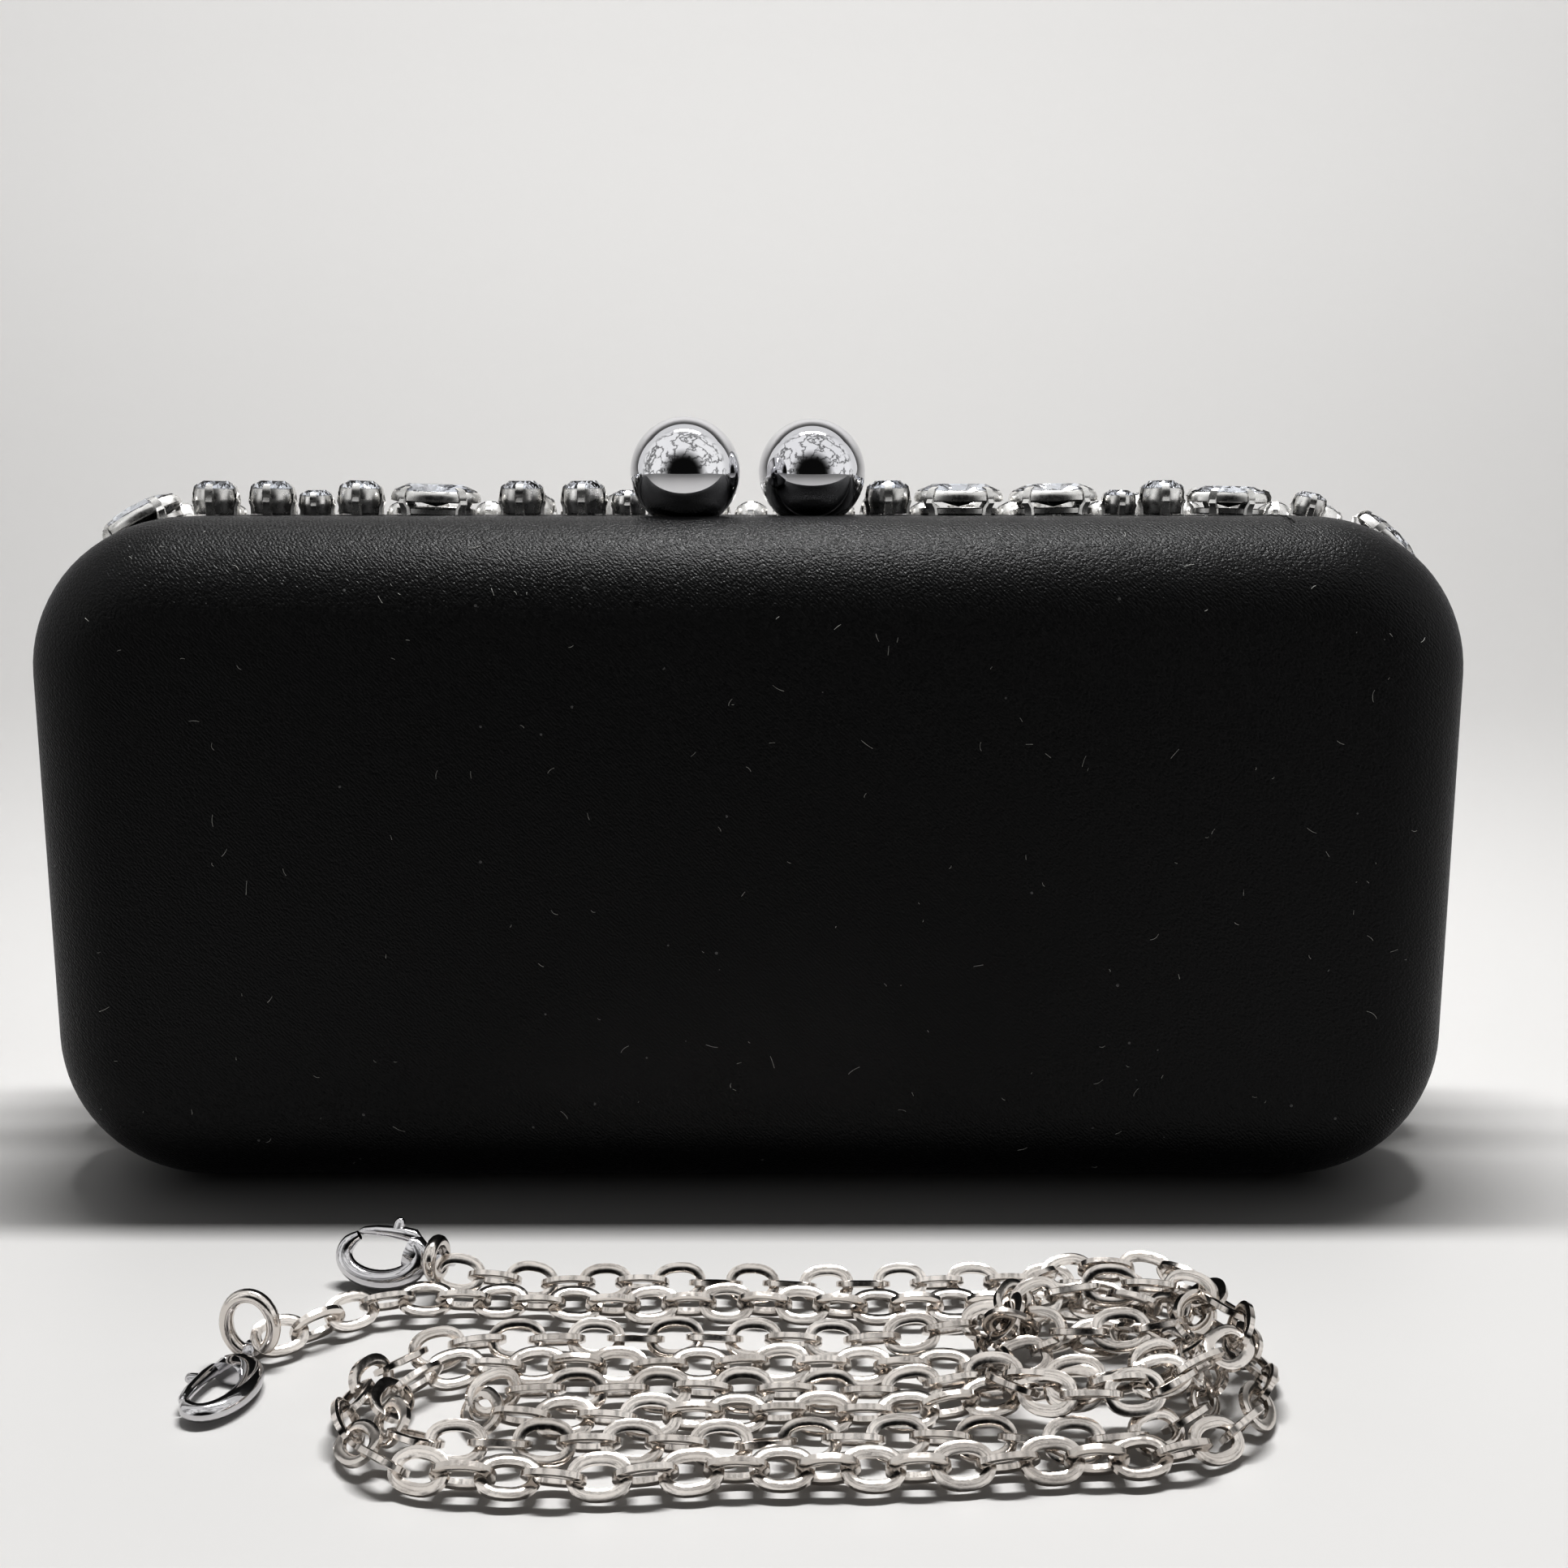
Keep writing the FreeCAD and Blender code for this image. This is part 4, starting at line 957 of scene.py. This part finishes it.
# centroid of a shell's surface
def middleOf(triangles):
    total = sum(areaOf(*t) for t in triangles)
    return sum(((t[0] + t[1] + t[2]) / 3 * areaOf(*t) for t in triangles), Vector()) / total


# base point and turn of every crystal of a kind
def crystalPlaces(kind):
    stones = [middleOf(triangles) for triangles in islandsOf(kind + "_stones")]
    places = []
    for triangles in islandsOf(kind + "_settings"):
        middle = middleOf(triangles)
        stone = min(stones, key=lambda s: (s - middle).length)
        normal = (stone - middle).normalized()
        level = Vector((0, 0, 1)).cross(normal)
        level = level.normalized() if level.length > 0.1 else Vector((1, 0, 0))
        across = normal.cross(level)
        if crystals[kind]["size"][0] != crystals[kind]["size"][1]:
            uv, spread = 0.0, 0.0
            for triangle in triangles:
                area = areaOf(*triangle)
                points = [p - middle for p in triangle]
                points.append(points[0] + points[1] + points[2])
                for point in points:
                    u, v = point.dot(level), point.dot(across)
                    uv += area * u * v
                    spread += area * (u * u - v * v)
            angle = 0.5 * math.atan2(2 * uv, spread)
            level, across = (level * math.cos(angle) + across * math.sin(angle),
                             across * math.cos(angle) - level * math.sin(angle))
        base = middle + normal * min((p - middle).dot(normal) for t in triangles for p in t)
        turn = Matrix((level, across, normal)).transposed().to_euler()
        places.append((base, Vector(turn)))
    return places


# copies one piece onto points, each turned as its point says, with a slight random tilt
def crystalTree():
    tree, given, result = newTree("crystal rows", [
        ("Piece", "NodeSocketObject"), ("Tilt", "NodeSocketFloat"), ("Seed", "NodeSocketInt"),
        ("Material", "NodeSocketMaterial"), ("Foil", "NodeSocketMaterial")])
    turn = addNode(tree, "GeometryNodeInputNamedAttribute", {"data_type": "FLOAT_VECTOR"}, {"Name": "turn"})
    turned = addNode(tree, "FunctionNodeEulerToRotation", inputs={0: turn.outputs[0]})
    chance = addNode(tree, "FunctionNodeRandomValue", {"data_type": "FLOAT_VECTOR"},
                     {"Min": (-1, -1, -1.5), "Max": (1, 1, 1.5), "Seed": given.outputs["Seed"]})
    tilt = addNode(tree, "ShaderNodeVectorMath", {"operation": "SCALE"},
                   {0: chance.outputs[0], "Scale": given.outputs["Tilt"]})
    tilted = addNode(tree, "FunctionNodeEulerToRotation", inputs={0: tilt.outputs[0]})
    leaning = addNode(tree, "FunctionNodeRotateRotation", {"rotation_space": "LOCAL"},
                      {"Rotation": turned.outputs[0], "Rotate By": tilted.outputs[0]})
    piece = addNode(tree, "GeometryNodeObjectInfo", inputs={"Object": given.outputs["Piece"]})
    copies = addNode(tree, "GeometryNodeInstanceOnPoints", inputs={
        "Points": given.outputs["Geometry"], "Instance": piece.outputs["Geometry"],
        "Rotation": leaning.outputs[0]})
    solid = addNode(tree, "GeometryNodeRealizeInstances", inputs={"Geometry": copies.outputs[0]})
    coated = addNode(tree, "GeometryNodeSetMaterial", inputs={
        "Geometry": solid.outputs[0], "Material": given.outputs["Material"]})
    foil = addNode(tree, "GeometryNodeInputNamedAttribute", {"data_type": "BOOLEAN"}, {"Name": "foil"})
    backed = addNode(tree, "GeometryNodeSetMaterial", inputs={
        "Geometry": coated.outputs[0], "Selection": foil.outputs[0], "Material": given.outputs["Foil"]})
    tree.links.new(backed.outputs[0], result.inputs[0])
    return tree


# clear lead crystal, polished, with a faint cool cast
def glassMaterial():
    material, tree, shader = newMaterial("polished clear crystal")
    place = addNode(tree, "ShaderNodeTexCoord").outputs["Object"]
    haze = addNode(tree, "ShaderNodeTexNoise", inputs={"Vector": place, "Scale": 130.0, "Detail": 2.0})
    tone = colourRamp(tree, haze.outputs["Fac"],
                      [(0.3, linearColour("#F2F6FA")), (0.7, linearColour("#FFFFFF"))])
    tree.links.new(tone.outputs["Color"], shader.inputs["Base Color"])
    rough = addNode(tree, "ShaderNodeMapRange", inputs={
        "Value": haze.outputs["Fac"], "From Min": 0.4, "From Max": 0.8, "To Min": 0.0, "To Max": 0.03})
    tree.links.new(rough.outputs["Result"], shader.inputs["Roughness"])
    shader.inputs["Transmission Weight"].default_value = 1.0
    shader.inputs["IOR"].default_value = 1.56
    return material


stoneGlass = glassMaterial()
# vacuum silvered back of a rhinestone
stoneFoil = metalMaterial("silvered stone backing", "#F4F4F6", 0.05, 500.0, 0.05, "#DEDFE4", 0.02)


def makeCrystals():
    rows = crystalTree()
    for number, kind in enumerate(crystals):
        places = crystalPlaces(kind)
        word = kind.split("_")[0] + "Round" if "round" in kind else kind
        for part, mesh, coat in (("Settings", settingMesh(kind), settingMetal),
                                 ("Stones", stoneMesh(kind), stoneGlass)):
            spots = bpy.data.meshes.new("spots")
            spots.from_pydata([base for base, turn in places], [], [])
            turns = spots.attributes.new("turn", "FLOAT_VECTOR", "POINT")
            turns.data.foreach_set("vector", [value for base, turn in places for value in turn])
            rowPoints = meshObject("rowPoints", spots)
            single = meshObject("single", mesh)
            attach(rowPoints, rows, {"Piece": single, "Tilt": gem["tilt"], "Seed": 11 + number,
                                     "Material": coat, "Foil": stoneFoil})
            piece = finishedMesh(rowPoints, word + part)
            bpy.data.objects.remove(single)
            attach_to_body(piece, "front_half")
            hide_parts(kind + "_" + part.lower())
        print("stage:", kind, len(places), "crystals")


makeCrystals()


# inside: cloth linings on card, and the hidden metal work of the frame

lining = {"edge": 3.62, "mouth": 6.1, "floor": 20.3, "corner": 11.0, "thick": 0.5, "fold": 0.45,
          "threads": ("#0D0D11", "#24242B"), "cut": (238.0, 121.0)}


def liningMaterial():
    # plain weave in charcoal, two threads across each other
    material, tree, shader = newMaterial("charcoal plain weave lining")
    place = addNode(tree, "ShaderNodeTexCoord").outputs["Object"]
    threads = []
    for direction in ("X", "Z"):
        threads.append(addNode(tree, "ShaderNodeTexWave", {"bands_direction": direction}, {
            "Vector": place, "Scale": 2 * math.pi / (20 * 0.7 * mm), "Distortion": 0.8, "Detail": 1.0}))
    weave = addNode(tree, "ShaderNodeMath", {"operation": "MAXIMUM"},
                    {0: threads[0].outputs["Fac"], 1: threads[1].outputs["Fac"]})
    tone = colourRamp(tree, weave.outputs[0], [(0.2, linearColour(lining["threads"][0])),
                                             (1.0, linearColour(lining["threads"][1]))])
    tree.links.new(tone.outputs["Color"], shader.inputs["Base Color"])
    wear = addNode(tree, "ShaderNodeTexNoise", inputs={"Vector": place, "Scale": 60.0, "Detail": 3.0})
    rough = addNode(tree, "ShaderNodeMapRange", inputs={
        "Value": wear.outputs["Fac"], "From Min": 0.3, "From Max": 0.7, "To Min": 0.55, "To Max": 0.72})
    tree.links.new(rough.outputs["Result"], shader.inputs["Roughness"])
    shader.inputs["Sheen Weight"].default_value = 0.2
    bump = addNode(tree, "ShaderNodeBump", inputs={
        "Height": weave.outputs[0], "Strength": 0.4, "Distance": 0.08 * mm})
    tree.links.new(bump.outputs["Normal"], shader.inputs["Normal"])
    return material


liningCloth = liningMaterial()


def liningProfile():
    edge, corner, deep = lining["edge"] + lining["thick"], lining["corner"], lining["floor"]
    stations = [(edge, lining["mouth"]), (edge, lining["mouth"] + 1.0)]
    for step in range(10):
        angle = math.radians(90.0 * step / 9)
        stations.append((edge + corner * (1 - math.cos(angle)), deep - corner + corner * math.sin(angle)))
    for inset in (18.0, 21.0, 25.0, 29.0, 33.0, 37.0, 41.0, 45.0, 48.5, 51.2, 53.0):
        stations.append((inset, deep))
    return stations


# cloth pushed into a tray: it gathers into folds round the corners and lies in slack waves on the floor
def makeLining(side, word):
    cloth = loftTray(word + "LiningCloth", liningProfile(), side, 0.0, tray["corner"])
    chance = random.Random(5 + side)
    folds = [(chance.uniform(0.0, 6.3), chance.uniform(17.0, 29.0)) for _ in range(4)]
    middle = bagHeight / 2
    for vertex in cloth.data.vertices:
        x, z = vertex.co.x / mm, (vertex.co.z - middle) / mm
        deep = abs(vertex.co.y - splitY) / mm
        if deep < lining["mouth"] + 0.5:
            continue
        angle = math.atan2(z, x)
        cornerShare = min(1.0, max(0.0, (abs(x) - 76.0) / 22.0)) * min(1.0, max(0.0, (abs(z) - 22.0) / 18.0))
        wave = sum(math.sin(phase + rate * angle) for phase, rate in folds) / len(folds)
        slack = 0.5 + 0.5 * math.sin(x / 13.0 + 1.4 * math.sin(z / 15.0 + side))
        floorShare = min(1.0, max(0.0, (deep - 15.0) / 5.0))
        lift = lining["fold"] * (cornerShare * (1.0 + wave) + 0.5 * slack * floorShare)
        inward = Vector((-x * 0.4, 0, -z * 0.8)).normalized() * (1.0 if deep < 18.0 else 0.2)
        vertex.co += (inward + Vector((0, -side, 0)) * (1.0 if deep > 15.0 else 0.2)) * lift * mm
    wall = cloth.modifiers.new("wall", "SOLIDIFY")
    wall.thickness = lining["thick"] * mm
    wall.offset = 1.0
    piece = finishedMesh(cloth, word + "Lining")
    shadeSmooth(piece, 60)
    paint(piece, liningCloth)
    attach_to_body(piece, word + "_half")
    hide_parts(word + "_lining")


makeLining(-1, "back")
makeLining(1, "front")


# moulded board: grey, fibrous, with faint press marks
def boardMaterial():
    material, tree, shader = newMaterial("pressed grey fibre board")
    place = addNode(tree, "ShaderNodeTexCoord").outputs["Object"]
    fibre = addNode(tree, "ShaderNodeMapping", inputs={"Vector": place, "Scale": (1.0, 1.0, 0.2)})
    grain = addNode(tree, "ShaderNodeTexNoise", inputs={
        "Vector": fibre.outputs[0], "Scale": 700.0, "Detail": 6.0})
    tone = colourRamp(tree, grain.outputs["Fac"],
                      [(0.3, linearColour("#4A4742")), (0.7, linearColour("#6E6A63"))])
    tree.links.new(tone.outputs["Color"], shader.inputs["Base Color"])
    rough = addNode(tree, "ShaderNodeMapRange", inputs={
        "Value": grain.outputs["Fac"], "To Min": 0.7, "To Max": 0.9})
    tree.links.new(rough.outputs["Result"], shader.inputs["Roughness"])
    bump = addNode(tree, "ShaderNodeBump", inputs={
        "Height": grain.outputs["Fac"], "Strength": 0.4, "Distance": 0.1 * mm})
    tree.links.new(bump.outputs["Normal"], shader.inputs["Normal"])
    return material


shellBoard = boardMaterial()
# stamped steel, zinc plated: duller than the polished parts
plateMetal = metalMaterial("zinc plated stamped steel", "#BDBEC0", 0.3, 800.0, 0.4, "#A3A4A8", 0.08)
# hardened pins and rivets, ground then plated
pinMetal = metalMaterial("ground steel pin", "#D2D1CF", 0.16, 1500.0, 0.2, "#BEBDBA", 0.05)
# spring steel, blued by its tempering
springMetal = metalMaterial("tempered spring steel", "#8C93A3", 0.28, 900.0, 0.3, "#6F7482", 0.07)

hardware = {
    "back_shell": shellBoard, "front_shell": shellBoard, "back_frame": frameMetal, "front_frame": frameMetal,
    "back_hinge_leaves": plateMetal, "front_hinge_leaves": plateMetal, "hinge_pins": pinMetal,
    "back_hinge_rivets": pinMetal, "front_hinge_rivets": pinMetal,
    "left_ball_stem": frameMetal, "right_ball_stem": frameMetal,
    "left_ball_bracket": plateMetal, "right_ball_bracket": plateMetal,
    "left_ball_pivot": pinMetal, "right_ball_pivot": pinMetal,
    "left_ball_spring": springMetal, "right_ball_spring": springMetal,
    "left_strap_lug": plateMetal, "right_strap_lug": plateMetal,
    "left_strap_ring": frameMetal, "right_strap_ring": frameMetal,
}
for node, coat in hardware.items():
    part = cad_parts[node]
    if not part.material_slots:
        part.data.materials.append(coat)
    for slot in part.material_slots:
        slot.link = "OBJECT"
        slot.material = coat
print("stage: hardware")


# lint on the back of the bag, and one loose sewing thread on its top edge

lint = {"count": 150, "reach": (0.5, 2.2), "thick": 0.045, "colour": "#A8A8A4", "seed": 8}
looseThread = {"path": [(81.2, -6.0, 106.05), (82.4, -10.5, 106.1), (83.0, -14.2, 104.7),
                        (84.6, -17.2, 102.6), (85.0, -19.4, 99.9)], "thick": 0.11}


def fibreMaterial(name, colour):
    material, tree, shader = newMaterial(name)
    place = addNode(tree, "ShaderNodeTexCoord").outputs["Object"]
    tone = addNode(tree, "ShaderNodeTexNoise", inputs={"Vector": place, "Scale": 900.0, "Detail": 2.0})
    ramp = colourRamp(tree, tone.outputs["Fac"],
                      [(0.3, linearColour(colour[0])), (0.7, linearColour(colour[1]))])
    tree.links.new(ramp.outputs["Color"], shader.inputs["Base Color"])
    shader.inputs["Roughness"].default_value = 0.8
    return material


# tube of fixed thickness along each drawn line
def threadTree():
    tree, given, result = newTree("thread", [
        ("Radius", "NodeSocketFloat"), ("Material", "NodeSocketMaterial")])
    lines = addNode(tree, "GeometryNodeMeshToCurve", inputs={"Mesh": given.outputs["Geometry"]})
    ring = addNode(tree, "GeometryNodeCurvePrimitiveCircle", inputs={
        "Resolution": 5, "Radius": given.outputs["Radius"]})
    tube = addNode(tree, "GeometryNodeCurveToMesh", inputs={
        "Curve": lines.outputs[0], "Profile Curve": ring.outputs[0], "Fill Caps": True})
    solid = addNode(tree, "GeometryNodeRealizeInstances", inputs={"Geometry": tube.outputs[0]})
    coated = addNode(tree, "GeometryNodeSetMaterial", inputs={
        "Geometry": solid.outputs[0], "Material": given.outputs["Material"]})
    tree.links.new(coated.outputs[0], result.inputs[0])
    return tree


def drawnLines(name, lines, radius, coat):
    vertices, edges = [], []
    for line in lines:
        first = len(vertices)
        vertices.extend(line)
        edges.extend((first + k, first + k + 1) for k in range(len(line) - 1))
    mesh = bpy.data.meshes.new(name)
    mesh.from_pydata(vertices, edges, [])
    lineObject = meshObject(name + "Lines", mesh)
    attach(lineObject, threads, {"Radius": radius, "Material": coat})
    piece = finishedMesh(lineObject, name)
    shadeSmooth(piece)
    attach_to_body(piece, "back_half")
    return piece


def makeLint():
    chance = random.Random(lint["seed"])
    lines = []
    while len(lines) < lint["count"]:
        x = chance.uniform(-0.104, 0.104)
        z = chance.uniform(0.004, 0.104)
        hit, point, normal, _ = backCover.ray_cast(Vector((x, splitY - 0.05, z)), Vector((0, 1, 0)))
        if not hit or abs(point.y - splitY) < 0.008:
            continue
        reach = chance.uniform(*lint["reach"]) * mm * chance.choice((0.4, 0.6, 1.0))
        heading = chance.uniform(0, 2 * math.pi)
        curl = chance.uniform(-1.3, 1.3)
        level = Vector((1, 0, 0)) - normal * normal.x
        level.normalize()
        across = normal.cross(level)
        place = point + normal * 0.05 * mm
        line = [place.copy()]
        for step in range(5):
            heading += curl / 5
            place += (level * math.cos(heading) + across * math.sin(heading)) * reach / 5
            line.append(place + normal * 0.1 * mm * math.sin(step))
        lines.append(line)
    drawnLines("lint", lines, lint["thick"] * mm, fibreMaterial("cotton lint", (lint["colour"], "#D8D8D4")))


threads = threadTree()
makeLint()
threadLine = []
for start, end in zip(looseThread["path"], looseThread["path"][1:]):
    for step in range(4):
        threadLine.append(placed(*(a + (b - a) * step / 4 for a, b in zip(start, end))))
for number, place in enumerate(threadLine):
    hit, near, normal, _ = backCover.closest_point_on_mesh(place)
    threadLine[number] = near + normal * (0.12 + 0.1 * (number % 2)) * mm
drawnLines("looseThread", [threadLine], looseThread["thick"] * mm,
           fibreMaterial("black sewing thread", ("#050505", "#101010")))
print("stage: lint and thread")
